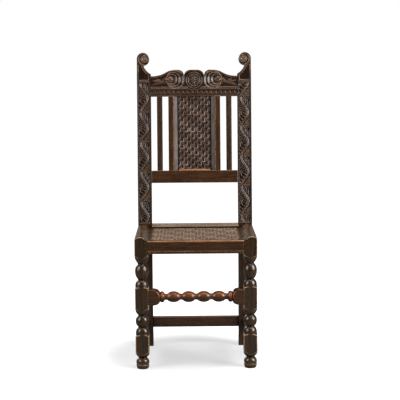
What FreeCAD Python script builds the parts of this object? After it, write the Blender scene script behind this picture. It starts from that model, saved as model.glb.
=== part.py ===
import FreeCAD, Part
import math
import os
from types import SimpleNamespace

import Sketcher
from FreeCAD import Placement, Rotation, Vector

# Joined oak side chair with a carved back and woven panels, millimetres, +Z up.
# The chair faces -Y. The origin is on the floor, under the middle of the chair's extent.
# Pieces are drawn in the bench frame, whose origin is on the floor, on the centre line,
# in the plane of the front legs' faces. The pieces of the raked back are drawn in the back
# frame, which starts at the bend of the back posts and leans backwards with them.

NAME = "JoinedSideChair"
# A little over half the diagonal of a square with side 1: a turning that leaves the corners
CORNER_SHARE = 0.75
# Turnings are left in flats, as a gouge leaves them: sides round, cuts and bend of a swell
TURNING_SIDES = 24
SWELL_CUTS = 3
SWELL_BEND = math.radians(60)
# Heights in the foot, as shares of the height of the lower block
FOOT_SHARES = {"band": 0.158, "line": 0.298, "crown": 0.404, "neck": 0.732}
# Heights between the middle and lower blocks, and between the middle and top blocks
BALL_SHARES = {"low_neck": 0.281, "crown": 0.528, "high_neck": 0.775}
URN_SHARES = {"low_neck": 0.232, "crown": 0.535, "high_neck": 0.782}
# Places along the crest rail, from the centre line, as shares of half its length
CREST_SHARES = {"centre_flat": 0.081, "notch": 0.232, "lobe_inner": 0.362,
                "lobe_outer": 0.429, "ogee_middle": 0.655, "ogee_end": 0.957}

SIZES = [
    ("overall_width", 455.0, "over the front legs and over the back posts"),
    ("seat_depth", 350.0, "front face of the legs to the front face of the back posts"),
    ("leg_square", 51.0, "side of the front legs' square blocks"),
    ("post_width", 55.0, "back post, across the chair"),
    ("post_depth", 42.0, "back post at the seat, front to back"),
    ("post_foot_depth", 38.0, "back post at the floor"),
    ("post_top_depth", 34.0, "back post at the top of its ear"),
    ("back_rake", 6.0, "lean of the back, degrees"),
    ("heel_cant", 11.0, "how far the back foot stands behind the seat joint"),
    ("cant_drop", 11.7, "where the back leg's cant ends, below the seat rails"),
    ("bend_rise", 16.0, "where the back post bends backwards, above the seat"),
    # Seat frame
    ("seat_height", 486.0, "top of the front rail"),
    ("seat_rail_height", 49.3, "front and side rails at the seat's flat part"),
    ("front_rail_thickness", 33.0, "front rail, front to back"),
    ("dome_rise", 14.0, "crown of the side rails above the seat"),
    ("edge_rise", 6.5, "outer edge of the side rails above the seat"),
    ("dome_inset", 23.5, "crown from the outer face"),
    ("side_web_thickness", 30.0, "lower part of the side rails"),
    ("ledge_width", 20.5, "ledge inside the side and back rails"),
    ("ledge_thickness", 18.0, "same, top to underside"),
    ("rebate_width", 8.0, "shelf that carries the woven seat"),
    ("rebate_depth", 4.0, "same, depth, and the woven seat's thickness"),
    ("back_rail_reach", 21.5, "back seat rail in front of the posts"),
    ("back_rail_thickness", 22.0, "back seat rail between the posts"),
    ("back_rail_face_rise", 7.4, "its front edge above the seat"),
    ("back_rail_top_rise", 14.3, "its top above the seat"),
    ("scratch_height", 10.6, "scratch bead above the front rail's lower edge"),
    ("scratch_radius", 1.2, "groove of the scratch bead"),
    # Tenons and pegs
    ("tenon_thickness", 10.0, "all rail tenons"),
    ("tenon_length", 30.0, "rails"),
    ("stretcher_tenon_length", 22.0, "side and rear stretchers"),
    ("stub_tenon_length", 12.0, "uprights of the back"),
    ("stub_tenon_thickness", 6.0, "uprights of the back"),
    ("tenon_shoulder", 6.0, "tenon narrower than its rail at each edge"),
    ("top_shoulder", 3.5, "same, at the top edge of the front rail"),
    ("face_cheek", 10.0, "wood in front of a tenon that is flush with its leg"),
    ("fit_clearance", 0.1, "mortise round its tenon, hole round its peg"),
    ("mortise_relief", 1.5, "mortise deeper than the tenon is long"),
    ("peg_radius", 4.0, "riven pegs, across the corners"),
    ("peg_inset", 11.5, "peg from the shoulder of its joint"),
    ("peg_length", 34.0, "pegs driven from the front or back"),
    ("back_peg_length", 30.0, "pegs driven from the back into the back's rails"),
    ("rail_peg_length", 23.0, "pegs driven from the sides into the rails"),
    ("side_peg_length", 29.0, "pegs driven from the sides into the stretchers"),
    ("rail_peg_spacing", 20.0, "pair of pegs in a seat rail"),
    ("stretcher_peg_spacing", 24.0, "pair of pegs in the front stretcher"),
    ("back_peg_spacing", 22.0, "pair of pegs in the lower back rail"),
    ("crest_peg_spacing", 34.0, "pair of pegs in the crest rail"),
    # Turned front leg
    ("toe_radius", 21.3, "foot on the floor"),
    ("foot_band_radius", 23.7, "foot at its worn band"),
    ("foot_line_depth", 1.0, "line cut round the foot, depth and half width"),
    ("foot_radius", 24.2, "widest place of the foot"),
    ("low_neck_radius", 15.0, "necks below the middle block"),
    ("high_neck_radius", 14.0, "necks above the middle block"),
    ("neck_width", 2.4, "flat of every neck"),
    ("shoulder_radius", 25.1, "turned shoulder where it meets a block"),
    ("corner_slope", 9.0, "height over which a block's corners are turned away"),
    ("lower_block_below", 14.5, "lower block, below the side stretcher"),
    ("lower_block_above", 19.0, "same, above it"),
    ("ball_radius", 24.8, "ball between the blocks"),
    ("middle_block_below", 49.0, "middle block, below the front stretcher's axis"),
    ("middle_block_above", 40.5, "same, above it"),
    ("urn_radius", 25.2, "long ball under the seat"),
    ("top_block_below", 15.7, "top block, below the seat rails"),
    # Front stretcher
    ("stretcher_height", 272.0, "axis of the front stretcher"),
    ("stretcher_stock_height", 59.0, "its square ends, top to bottom"),
    ("stretcher_stock_depth", 46.0, "its square ends, front to back"),
    ("stretcher_end_run", 63.9, "outermost neck to the leg"),
    ("bobbin_radius", 20.6, "bobbins"),
    ("bobbin_neck_radius", 12.0, "necks between the bobbins"),
    ("bobbin_neck_width", 1.6, "flat of the necks"),
    ("end_bobbin_run", 14.5, "outer neck to the crown of the half bobbin"),
    ("end_bobbin_radius", 21.4, "half bobbin"),
    ("quirk_run", 21.5, "outer neck to the quirk at the square end"),
    ("quirk_radius", 19.0, "quirk beside the square end"),
    ("end_shoulder_radius", 36.0, "turned shoulder where it reaches the leg"),
    # Side and rear stretchers
    ("low_stretcher_height", 41.5, "side and rear stretchers, top to bottom"),
    ("low_stretcher_thickness", 22.0, "same, through"),
    ("side_stretcher_rise", 71.5, "underside above the floor"),
    ("rear_stretcher_rise", 77.0, "underside above the floor"),
    ("rear_stretcher_setback", 16.0, "behind the posts' face at the seat"),
    # Back, measured up the rake
    ("lower_rail_start", 161.5, "bend of the posts to the underside of the lower rail"),
    ("lower_rail_height", 49.7, "lower back rail, bottom to top"),
    ("lower_rail_thickness", 24.0, "through"),
    ("upright_length", 295.2, "lower rail to crest rail"),
    ("crest_side_height", 80.8, "crest rail, beside the stiles"),
    ("notch_rise", 2.0, "notches between its lobes, above that"),
    ("lobe_rise", 24.7, "lobes, above that"),
    ("crest_thickness", 28.0, "through"),
    ("slat_width", 21.8, "thin upright"),
    ("slat_thickness", 12.0, "thin upright"),
    ("slat_setback", 3.0, "behind the rails' face"),
    ("slat_chamfer", 3.0, "its front edges"),
    ("upright_space", 69.3, "post to muntin; the thin upright stands in the middle"),
    ("muntin_width", 40.6, "moulded upright"),
    ("muntin_flat", 21.6, "its flat face"),
    ("muntin_thickness", 22.0, "through"),
    ("moulding_quirk", 1.5, "step beside its moulding"),
    ("moulding_depth", 10.0, "fall of its moulding"),
    ("moulding_fillet", 3.4, "flat beside the woven panel"),
    ("panel_thickness", 5.0, "woven back panel"),
    ("panel_setback", 11.0, "behind the rails' face"),
    ("panel_groove", 6.0, "groove for the woven panel"),
    ("sill_height", 6.3, "strip at the foot of the woven panel"),
    ("sill_edge", 1.5, "its front edge"),
    # Ears
    ("ear_rise", 68.4, "middle of the scroll above the crest rail's side"),
    ("ear_radius", 24.5, "scroll"),
    ("ear_neck_width", 26.6, "wood under the scroll"),
    ("ear_foot_rise", 8.3, "foot of the hollow under the scroll, above the same"),
    ("ear_hollow_radius", 56.5, "hollow under the scroll"),
]


class Length:
    """A size with its number and the expression that works it out from the sheet."""

    def __init__(self, value, text):
        self.value = value
        self.text = text

    @staticmethod
    def of(other):
        return other if isinstance(other, Length) else Length(float(other), repr(other))

    def __add__(self, other):
        other = Length.of(other)
        return Length(self.value + other.value, f"({self.text} + {other.text})")

    def __sub__(self, other):
        other = Length.of(other)
        return Length(self.value - other.value, f"({self.text} - {other.text})")

    def __mul__(self, other):
        other = Length.of(other)
        return Length(self.value * other.value, f"{self.text} * {other.text}")

    def __truediv__(self, other):
        other = Length.of(other)
        return Length(self.value / other.value, f"{self.text} / ({other.text})")

    def __neg__(self):
        return Length(-self.value, f"(-1 * {self.text})")

    def sine(self):
        return Length(math.sin(math.radians(self.value)), f"sin({self.text})")

    def cosine(self):
        return Length(math.cos(math.radians(self.value)), f"cos({self.text})")

    def root(self):
        """Square root."""
        return Length(math.sqrt(self.value), f"sqrt({self.text})")


def write_sheet(doc):
    """Put every driving size in the sheet and hand them back by name."""
    sheet = doc.addObject("Spreadsheet::Sheet", "Sizes")
    sizes = SimpleNamespace()
    for row, (alias, value, note) in enumerate(SIZES, start=1):
        sheet.set(f"A{row}", alias)
        sheet.set(f"B{row}", str(value))
        sheet.set(f"C{row}", note)
        sheet.setAlias(f"B{row}", alias)
        setattr(sizes, alias, Length(value, f"Sizes.{alias}"))
    doc.recompute()
    return sizes


doc = FreeCAD.newDocument(NAME)
size = write_sheet(doc)
NODES = []


def bind(thing, **properties):
    """Tie properties to the sheet; a double underscore stands for a dot."""
    for path, value in properties.items():
        if isinstance(value, Length):
            thing.setExpression(path.replace("__", "."), value.text)


def place(thing, x=0, y=0, z=0, turn=None):
    """Set a placement and tie its position to the sheet."""
    spot = Vector(*(Length.of(value).value for value in (x, y, z)))
    thing.Placement = Placement(spot, turn or Rotation())
    bind(thing, Placement__Base__x=x, Placement__Base__y=y, Placement__Base__z=z)
    return thing


def box(name, x, y, z):
    """A block between two values on each axis, given as (low, high)."""
    block = doc.addObject("Part::Box", name)
    spans = [Length.of(high) - Length.of(low) for low, high in (x, y, z)]
    bind(block, Length=spans[0], Width=spans[1], Height=spans[2])
    return place(block, x[0], y[0], z[0])


def fuse(name, *things):
    whole = doc.addObject("Part::MultiFuse", name)
    whole.Shapes = list(things)
    return whole


def cut(name, base, *tools):
    """Cut every tool out of the base; several tools are joined first."""
    piece = doc.addObject("Part::Cut", name)
    piece.Base = base
    piece.Tool = tools[0] if len(tools) == 1 else fuse(name + "_tools", *tools)
    return piece


def common(name, base, tool):
    piece = doc.addObject("Part::Common", name)
    piece.Base = base
    piece.Tool = tool
    return piece


def mirrored(name, source):
    """The same piece for the other side of the centre line."""
    twin = doc.addObject("Part::Mirroring", name)
    twin.Source = source
    twin.Normal = (1, 0, 0)
    twin.Base = (0, 0, 0)
    return twin


def quarter(run, rise):
    """Radius of an arc that starts level and has moved away by rise after run."""
    return (run * run + rise * rise) / (rise * 2)


def outline(body, name, plane, corners, arcs):
    """A closed sketch. Each corner is tied to the sheet; arcs maps the number of an edge
    to its radius and to the side on which it bulges: 1 left of its run, -1 right."""
    sketch = body.newObject("Sketcher::SketchObject", name)
    support = [item for item in body.Origin.OriginFeatures if item.Role == plane][0]
    sketch.AttachmentSupport = [(support, "")]
    sketch.MapMode = "FlatFace"
    spots = [Vector(Length.of(x).value, Length.of(y).value, 0) for x, y in corners]
    edges = []
    for number, start in enumerate(spots):
        end = spots[(number + 1) % len(spots)]
        if number in arcs:
            radius, side = arcs[number]
            chord = end - start
            away = Vector(-chord.y, chord.x, 0).normalize() * side
            sagitta = radius.value - math.sqrt(radius.value ** 2 - (chord.Length / 2) ** 2)
            edges.append(Part.Arc(start, (start + end) / 2 + away * sagitta, end))
        else:
            edges.append(Part.LineSegment(start, end))
    sketch.addGeometry(edges, False)
    first = []
    for number, spot in enumerate(spots):
        ends = [(sketch.getPoint(number, end) - spot).Length for end in (1, 2)]
        first.append(1 if ends[0] < ends[1] else 2)
    rules = []
    for number, (x, y) in enumerate(corners):
        following = (number + 1) % len(corners)
        rules.append((Sketcher.Constraint(
            "Coincident", number, 3 - first[number], following, first[following]), None))
        for kind, axis, value in (("DistanceX", -2, x), ("DistanceY", -1, y)):
            if isinstance(value, Length):
                rule = Sketcher.Constraint(kind, number, first[number], value.value)
                rules.append((rule, value))
            else:
                rule = Sketcher.Constraint("PointOnObject", number, first[number], axis)
                rules.append((rule, None))
    for number, (radius, side) in arcs.items():
        rules.append((Sketcher.Constraint("Radius", number, radius.value), radius))
    indexes = sketch.addConstraint([rule for rule, value in rules])
    for index, (rule, value) in zip(indexes, rules):
        if value is not None:
            sketch.renameConstraint(index, f"tied_{index}")
            sketch.setExpression(f"Constraints.tied_{index}", value.text)
    return sketch


def padded(name, plane, corners, arcs, start, end):
    """An outline drawn on a plane of the frame and padded between two distances from it."""
    body = doc.addObject("PartDesign::Body", name + "_body")
    sketch = outline(body, name + "_outline", plane, corners, arcs)
    pad = body.newObject("PartDesign::Pad", name + "_pad")
    pad.Profile = (sketch, [""])
    bind(pad, Length=Length.of(end) - Length.of(start))
    if plane == "XZ_Plane":
        pad.Reversed = True
        return place(body, y=start)
    if plane == "YZ_Plane":
        return place(body, x=start)
    return place(body, z=start)


def swell(crest, foot):
    """Rings of a rounded turning from its fullest place down to a neck or shoulder. Both are
    (radius, distance) pairs; the outline is an arc stretched to run from one to the other."""
    rings = []
    for cut_number in range(SWELL_CUTS + 1):
        angle = SWELL_BEND * cut_number / SWELL_CUTS
        run_share = math.sin(angle) / math.sin(SWELL_BEND)
        fall_share = (1 - math.cos(angle)) / (1 - math.cos(SWELL_BEND))
        rings.append((crest[0] - (crest[0] - foot[0]) * fall_share,
                      Length.of(crest[1]) + (foot[1] - crest[1]) * run_share))
    return rings


def ball(low_neck, crown, high_neck):
    """Rings of a ball between two necks."""
    return swell(crown, low_neck)[::-1] + swell(crown, high_neck)[1:]


def turned(name, rings):
    """A turning about Z through many-sided rings, each a (radius, distance) pair."""
    sections = []
    for number, (radius, distance) in enumerate(rings):
        ring = doc.addObject("Part::RegularPolygon", f"{name}_ring_{number}")
        ring.Polygon = TURNING_SIDES
        bind(ring, Circumradius=radius)
        sections.append(place(ring, z=distance))
    turning = doc.addObject("Part::Loft", name + "_turning")
    turning.Sections = sections
    turning.Solid = True
    turning.Ruled = True
    turning.Linearize = True
    return turning


ALONG_Y = Rotation(Vector(1, 0, 0), -90)
ALONG_X = Rotation(Vector(0, 1, 0), 90)


def peg(name, x, y, z, turn, length, hole=False):
    """An eight-sided riven peg, or the hole that it is driven into."""
    pin = doc.addObject("Part::Prism", name)
    pin.Polygon = 8
    radius = size.peg_radius + size.fit_clearance if hole else size.peg_radius
    bind(pin, Circumradius=radius, Height=length)
    return place(pin, x, y, z, turn)


def drive(name, spots, turn, length):
    """Both solids of a row of pegs on the right side: the pegs and their holes."""
    pegs = [peg(f"{name}_{number}", *spot, turn, length) for number, spot in enumerate(spots)]
    holes = [peg(f"{name}_hole_{number}", *spot, turn, length, hole=True)
             for number, spot in enumerate(spots)]
    return pegs, holes


def mortise(name, x, y, z, deep):
    """The hole for a tenon: clear of it all round and deeper than it by the relief. The
    tenon is given as on box; deep names the axis and the sense of its far end."""
    spans = {"x": x, "y": y, "z": z}
    slack = size.fit_clearance
    for axis, (low, high) in spans.items():
        if axis not in deep:
            spans[axis] = (Length.of(low) - slack, Length.of(high) + slack)
    axis = deep[1]
    low, high = spans[axis]
    if deep[0] == "+":
        spans[axis] = (low, high + size.mortise_relief)
    else:
        spans[axis] = (low - size.mortise_relief, high)
    return box(name, spans["x"], spans["y"], spans["z"])


# The origin lies under the middle of the chair: half of its depth behind the legs' faces
half_width = size.overall_width / 2
leg_inner = half_width - size.leg_square
post_inner = half_width - size.post_width
leg_axis = half_width - size.leg_square / 2
seat_low = size.seat_height - size.seat_rail_height
cant_height = seat_low - size.cant_drop
bend_height = size.seat_height + size.bend_rise
lower_rail_end = size.lower_rail_start + size.lower_rail_height
crest_start = lower_rail_end + size.upright_length
crest_shoulder = crest_start + size.crest_side_height
ear_centre = crest_shoulder + size.ear_rise
ear_top = ear_centre + size.ear_radius
muntin_outer = post_inner - size.upright_space
muntin_inner = muntin_outer - size.muntin_width
total_depth = (size.seat_depth + size.back_rake.sine() * ear_top
               + size.back_rake.cosine() * size.post_top_depth)
origin_shift = -(total_depth / 2)


def finish(piece, label, raked=False):
    """Name a sub-part and put it where it belongs."""
    piece.Label = label
    if raked:
        lean = Rotation(Vector(1, 0, 0), -size.back_rake.value)
        place(piece, y=size.seat_depth + origin_shift, z=bend_height, turn=lean)
        bind(piece, Placement__Rotation__Angle=-size.back_rake)
    else:
        place(piece, y=origin_shift)
    NODES.append(piece)
    return piece


def finish_pair(piece, label, raked=False):
    """A right-hand sub-part and its mirror image on the left."""
    finish(piece, label + "_right", raked)
    twin = mirrored(piece.Name + "_mirror", piece)
    twin.Label = label + "_left"
    NODES.append(twin)


def both_sides(name, things):
    """Things of the right side together with their mirror images."""
    return things + [mirrored(f"{name}_mirror_{number}", thing)
                     for number, thing in enumerate(things)]


def compound(name, things):
    group = doc.addObject("Part::Compound", name)
    group.Links = things
    return group


def raked_tools(name, *things):
    """Tools drawn in the back frame, leaned for a piece that is drawn in the bench frame."""
    group = fuse(name, *things) if len(things) > 1 else compound(name, list(things))
    lean = Rotation(Vector(1, 0, 0), -size.back_rake.value)
    place(group, y=size.seat_depth, z=bend_height, turn=lean)
    bind(group, Placement__Rotation__Angle=-size.back_rake)
    return group


def grown(full, along, whole):
    """What grows evenly from nothing to full over whole, at a place along it."""
    return full * along / whole


def post_face(height):
    """Front face of the canted back leg at a height below the seat."""
    return size.seat_depth + size.heel_cant - grown(size.heel_cant, height, cant_height)


def post_back(height):
    """Back face of the canted back leg at a height below the seat."""
    growth = size.post_depth - size.post_foot_depth
    return post_face(height) + size.post_foot_depth + grown(growth, height, cant_height)


def stile_depth(up):
    """Depth of the raked stile at a distance up the back."""
    taper = size.post_depth - size.post_top_depth
    return size.post_depth - grown(taper, up, ear_top)


# Section of the seat's side rails: crowned outer edge, ogee down to the seat
edge_top = size.seat_height + size.edge_rise
dome_top = size.seat_height + size.dome_rise
dome_x = half_width - size.dome_inset
ogee_run = (dome_x - leg_inner) / 2
ogee_x = leg_inner + ogee_run
ogee_top = size.seat_height + size.dome_rise / 2
crown_radius = quarter(size.dome_inset, size.dome_rise - size.edge_rise)
ogee_radius = quarter(ogee_run, size.dome_rise / 2)
rail_top = [(half_width, edge_top), (dome_x, dome_top), (ogee_x, ogee_top),
            (leg_inner, size.seat_height)]


def rail_top_arcs(start):
    """The three arcs of the crown and ogee, the first being edge number start."""
    return {start: (crown_radius, -1), start + 1: (ogee_radius, -1),
            start + 2: (ogee_radius, 1)}


# Seat joints shared by the legs, the posts and the rails
front_tenon_y = (size.face_cheek, size.face_cheek + size.tenon_thickness)
front_tenon_z = (seat_low + size.tenon_shoulder, size.seat_height - size.top_shoulder)
side_tenon_x = (half_width - size.face_cheek - size.tenon_thickness,
                half_width - size.face_cheek)
side_tenon_z = (seat_low + size.tenon_shoulder, size.seat_height - size.tenon_shoulder)
rail_middle = seat_low + size.seat_rail_height / 2
front_tenon_x = (leg_inner, leg_inner + size.tenon_length)
side_front_tenon_y = (size.leg_square - size.tenon_length, size.leg_square)
side_back_tenon_y = (size.seat_depth, size.seat_depth + size.tenon_length)
back_tenon_x = (post_inner, post_inner + size.tenon_length)
back_tenon_y = (size.seat_depth + size.back_rail_thickness / 2 - size.tenon_thickness / 2,
                size.seat_depth + size.back_rail_thickness / 2 + size.tenon_thickness / 2)

front_peg_x = leg_inner + size.peg_inset
front_peg_top = front_tenon_z[1] - size.peg_radius - size.fit_clearance * 2
front_rail_pegs, front_rail_holes = drive(
    "front_rail_peg",
    [(front_peg_x, 0, front_peg_top - size.rail_peg_spacing * step) for step in (0, 1)],
    ALONG_Y, size.peg_length)
side_peg_heights = [rail_middle - size.rail_peg_spacing / 2,
                    rail_middle + size.rail_peg_spacing / 2]
side_peg_x = half_width - size.rail_peg_length
side_front_pegs, side_front_holes = drive(
    "side_rail_front_peg",
    [(side_peg_x, size.leg_square - size.peg_inset, z) for z in side_peg_heights],
    ALONG_X, size.rail_peg_length)
side_back_pegs, side_back_holes = drive(
    "side_rail_back_peg",
    [(side_peg_x, size.seat_depth + size.peg_inset, z) for z in side_peg_heights],
    ALONG_X, size.rail_peg_length)
back_rail_pegs, back_rail_holes = drive(
    "back_rail_peg",
    [(post_inner + size.peg_inset,
      size.seat_depth + size.post_depth - size.peg_length, z) for z in side_peg_heights],
    ALONG_Y, size.peg_length)

# Front stretcher joint
stretcher_axis_y = size.stretcher_stock_depth / 2
stretcher_tenon_y = (stretcher_axis_y - size.tenon_thickness / 2,
                     stretcher_axis_y + size.tenon_thickness / 2)
stretcher_tenon_z = (
    size.stretcher_height - size.stretcher_peg_spacing / 2 - size.peg_radius * 2,
    size.stretcher_height + size.stretcher_peg_spacing / 2 + size.peg_radius * 2)
front_stretcher_pegs, front_stretcher_holes = drive(
    "front_stretcher_peg",
    [(front_peg_x, 0, size.stretcher_height + size.stretcher_peg_spacing / 2 * sense)
     for sense in (1, -1)],
    ALONG_Y, size.peg_length)

# Recess of the woven seat
recess_half = leg_inner - size.ledge_width + size.rebate_width
recess_front = size.front_rail_thickness - size.rebate_width
recess_back = size.seat_depth - size.back_rail_reach - size.ledge_width + size.rebate_width
recess_floor = size.seat_height - size.rebate_depth

# Side and rear stretcher joints
side_stretcher_x = (leg_axis - size.low_stretcher_thickness / 2,
                    leg_axis + size.low_stretcher_thickness / 2)
side_stretcher_z = (size.side_stretcher_rise,
                    size.side_stretcher_rise + size.low_stretcher_height)
side_stretcher_middle = size.side_stretcher_rise + size.low_stretcher_height / 2
low_tenon_x = (leg_axis - size.tenon_thickness / 2, leg_axis + size.tenon_thickness / 2)
low_tenon_z = (size.side_stretcher_rise + size.tenon_shoulder,
               size.side_stretcher_rise + size.low_stretcher_height - size.tenon_shoulder)
low_front_tenon_y = (size.leg_square - size.stretcher_tenon_length, size.leg_square)
low_back_tenon_y = (size.seat_depth,
                    post_face(side_stretcher_middle) + size.stretcher_tenon_length)
low_peg_spots = [
    (half_width - size.side_peg_length, size.leg_square - size.peg_inset,
     side_stretcher_middle),
    (half_width - size.side_peg_length, post_face(side_stretcher_middle) + size.peg_inset,
     side_stretcher_middle)]
side_stretcher_pegs, side_stretcher_holes = drive(
    "side_stretcher_peg", low_peg_spots, ALONG_X, size.side_peg_length)
rear_stretcher_y = (size.seat_depth + size.rear_stretcher_setback,
                    size.seat_depth + size.rear_stretcher_setback
                    + size.low_stretcher_thickness)
rear_stretcher_z = (size.rear_stretcher_rise,
                    size.rear_stretcher_rise + size.low_stretcher_height)
rear_stretcher_middle = size.rear_stretcher_rise + size.low_stretcher_height / 2
rear_tenon_x = (post_inner, post_inner + size.stretcher_tenon_length)
rear_tenon_y = (rear_stretcher_y[0] + size.low_stretcher_thickness / 2
                - size.tenon_thickness / 2,
                rear_stretcher_y[0] + size.low_stretcher_thickness / 2
                + size.tenon_thickness / 2)
rear_tenon_z = (size.rear_stretcher_rise + size.tenon_shoulder,
                size.rear_stretcher_rise + size.low_stretcher_height - size.tenon_shoulder)
rear_stretcher_pegs, rear_stretcher_holes = drive(
    "rear_stretcher_peg",
    [(post_inner + size.peg_inset,
      post_back(rear_stretcher_middle) - size.peg_length, rear_stretcher_middle)],
    ALONG_Y, size.peg_length)


# Joints of the raked back, in the back frame
crest_tenon_x = (post_inner, post_inner + size.tenon_length)
crest_tenon_y = (size.crest_thickness / 2 - size.tenon_thickness / 2,
                 size.crest_thickness / 2 + size.tenon_thickness / 2)
crest_tenon_z = (crest_start + size.tenon_shoulder,
                 crest_shoulder - size.tenon_shoulder)
lower_tenon_y = (size.lower_rail_thickness / 2 - size.tenon_thickness / 2,
                 size.lower_rail_thickness / 2 + size.tenon_thickness / 2)
lower_tenon_z = (size.lower_rail_start + size.tenon_shoulder,
                 lower_rail_end - size.tenon_shoulder)
crest_peg_middle = (crest_tenon_z[0] + crest_tenon_z[1]) / 2
lower_peg_middle = (lower_tenon_z[0] + lower_tenon_z[1]) / 2


def back_peg_spots(middle, spacing):
    """A pair of pegs driven from the back of the stile."""
    heights = [middle - spacing / 2, middle + spacing / 2]
    return [(post_inner + size.peg_inset, stile_depth(z) - size.back_peg_length, z)
            for z in heights]


crest_pegs, crest_holes = drive(
    "crest_peg", back_peg_spots(crest_peg_middle, size.crest_peg_spacing), ALONG_Y,
    size.back_peg_length)
lower_rail_pegs, lower_rail_holes = drive(
    "lower_rail_peg", back_peg_spots(lower_peg_middle, size.back_peg_spacing), ALONG_Y,
    size.back_peg_length)


def along(start, end, share):
    """The place at a share of the way from start to end."""
    return Length.of(start) + (end - start) * share


def front_leg():
    """Square stock with a crowned top, mortised, then turned between its blocks."""
    lower_start = size.side_stretcher_rise - size.lower_block_below
    lower_end = side_stretcher_z[1] + size.lower_block_above
    middle_start = size.stretcher_height - size.middle_block_below
    middle_end = size.stretcher_height + size.middle_block_above
    top_start = seat_low - size.top_block_below
    foot_at = {name: lower_start * share for name, share in FOOT_SHARES.items()}
    ball_at = {name: along(lower_end, middle_start, share)
               for name, share in BALL_SHARES.items()}
    urn_at = {name: along(middle_end, top_start, share) for name, share in URN_SHARES.items()}
    low, high = size.low_neck_radius, size.high_neck_radius
    shoulder, corner = size.shoulder_radius, size.leg_square * CORNER_SHARE
    slope, half_neck, line = size.corner_slope, size.neck_width / 2, size.foot_line_depth
    line_radius = (size.foot_radius + size.foot_band_radius) / 2

    def block(start, end):
        """The corners stay square between the turned shoulders."""
        return [(corner, start + slope), (corner, end - slope)]

    rings = swell((size.foot_band_radius, foot_at["band"]),
                  (size.toe_radius, Length.of(0)))[::-1]
    rings += [(line_radius, foot_at["line"] - line), (line_radius - line, foot_at["line"]),
              (line_radius, foot_at["line"] + line)]
    rings += swell((size.foot_radius, foot_at["crown"]), (low, foot_at["neck"] - half_neck))
    rings += swell((shoulder, lower_start), (low, foot_at["neck"] + half_neck))[::-1]
    rings += block(lower_start, lower_end)
    rings += swell((shoulder, lower_end), (low, ball_at["low_neck"] - half_neck))
    rings += ball((low, ball_at["low_neck"] + half_neck),
                  (size.ball_radius, ball_at["crown"]),
                  (low, ball_at["high_neck"] - half_neck))
    rings += swell((shoulder, middle_start), (low, ball_at["high_neck"] + half_neck))[::-1]
    rings += block(middle_start, middle_end)
    rings += swell((shoulder, middle_end), (high, urn_at["low_neck"] - half_neck))
    rings += ball((high, urn_at["low_neck"] + half_neck), (size.urn_radius, urn_at["crown"]),
                  (high, urn_at["high_neck"] - half_neck))
    rings += swell((shoulder, top_start), (high, urn_at["high_neck"] + half_neck))[::-1]
    rings += block(top_start, dome_top + slope * 2)
    turning = place(turned("front_leg", rings), x=leg_axis, y=size.leg_square / 2)
    stock = padded("front_leg_stock", "XZ_Plane",
                   [(leg_inner, 0), (half_width, 0)] + rail_top, rail_top_arcs(2),
                   0, size.leg_square)
    tools = [
        mortise("leg_front_rail_mortise", front_tenon_x, front_tenon_y, front_tenon_z, "+x"),
        mortise("leg_side_rail_mortise", side_tenon_x, side_front_tenon_y, side_tenon_z,
                "-y"),
        mortise("leg_stretcher_mortise", front_tenon_x, stretcher_tenon_y,
                stretcher_tenon_z, "+x"),
        mortise("leg_low_mortise", low_tenon_x, low_front_tenon_y, low_tenon_z, "-y")]
    tools += front_rail_holes + side_front_holes + front_stretcher_holes
    tools += side_stretcher_holes[:1]
    mortised = cut("front_leg_mortised", stock, *tools)
    finish_pair(common("front_leg_turned", mortised, turning), "front_leg")


def side_rail():
    """Crowned web behind the leg, a ledge for the woven seat and a tenon at each end."""
    ledge_low = size.seat_height - size.ledge_thickness
    web_inner = half_width - size.side_web_thickness
    section = ([(web_inner, seat_low), (half_width, seat_low)] + rail_top
               + [(leg_inner, ledge_low), (web_inner, ledge_low)])
    web = padded("side_rail_web", "XZ_Plane", section, rail_top_arcs(2),
                 size.leg_square, size.seat_depth)
    ledge = box("side_rail_ledge", (leg_inner - size.ledge_width, leg_inner),
                (size.front_rail_thickness, size.seat_depth - size.back_rail_reach),
                (ledge_low, size.seat_height))
    rebate = box("side_rail_rebate",
                 (leg_inner - size.ledge_width,
                  leg_inner - size.ledge_width + size.rebate_width),
                 (0, recess_back), (recess_floor, dome_top))
    front_tenon = box("side_rail_front_tenon", side_tenon_x, side_front_tenon_y,
                      side_tenon_z)
    back_tenon = box("side_rail_back_tenon", side_tenon_x, side_back_tenon_y, side_tenon_z)
    whole = fuse("side_rail_whole", web, ledge, front_tenon, back_tenon)
    rail = cut("side_rail_cut", whole, rebate, *side_front_holes, *side_back_holes)
    finish_pair(rail, "seat_rail")


def front_rail():
    """Plain rail with a scratch bead, rebated behind for the woven seat."""
    body = box("front_rail_body", (-leg_inner, leg_inner), (0, size.front_rail_thickness),
               (seat_low, size.seat_height))
    right_tenon = box("front_rail_tenon", front_tenon_x, front_tenon_y, front_tenon_z)
    left_tenon = mirrored("front_rail_tenon_mirror", right_tenon)
    rebate = box("front_rail_rebate", (-recess_half, recess_half),
                 (recess_front, size.front_rail_thickness), (recess_floor, dome_top))
    bead = doc.addObject("Part::Cylinder", "front_rail_scratch")
    bind(bead, Radius=size.scratch_radius, Height=leg_inner * 2)
    place(bead, x=-leg_inner, z=seat_low + size.scratch_height, turn=ALONG_X)
    holes = both_sides("front_rail_holes", front_rail_holes)
    whole = fuse("front_rail_whole", body, right_tenon, left_tenon)
    finish(cut("front_rail_cut", whole, rebate, bead, *holes), "seat_rail_front")


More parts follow.
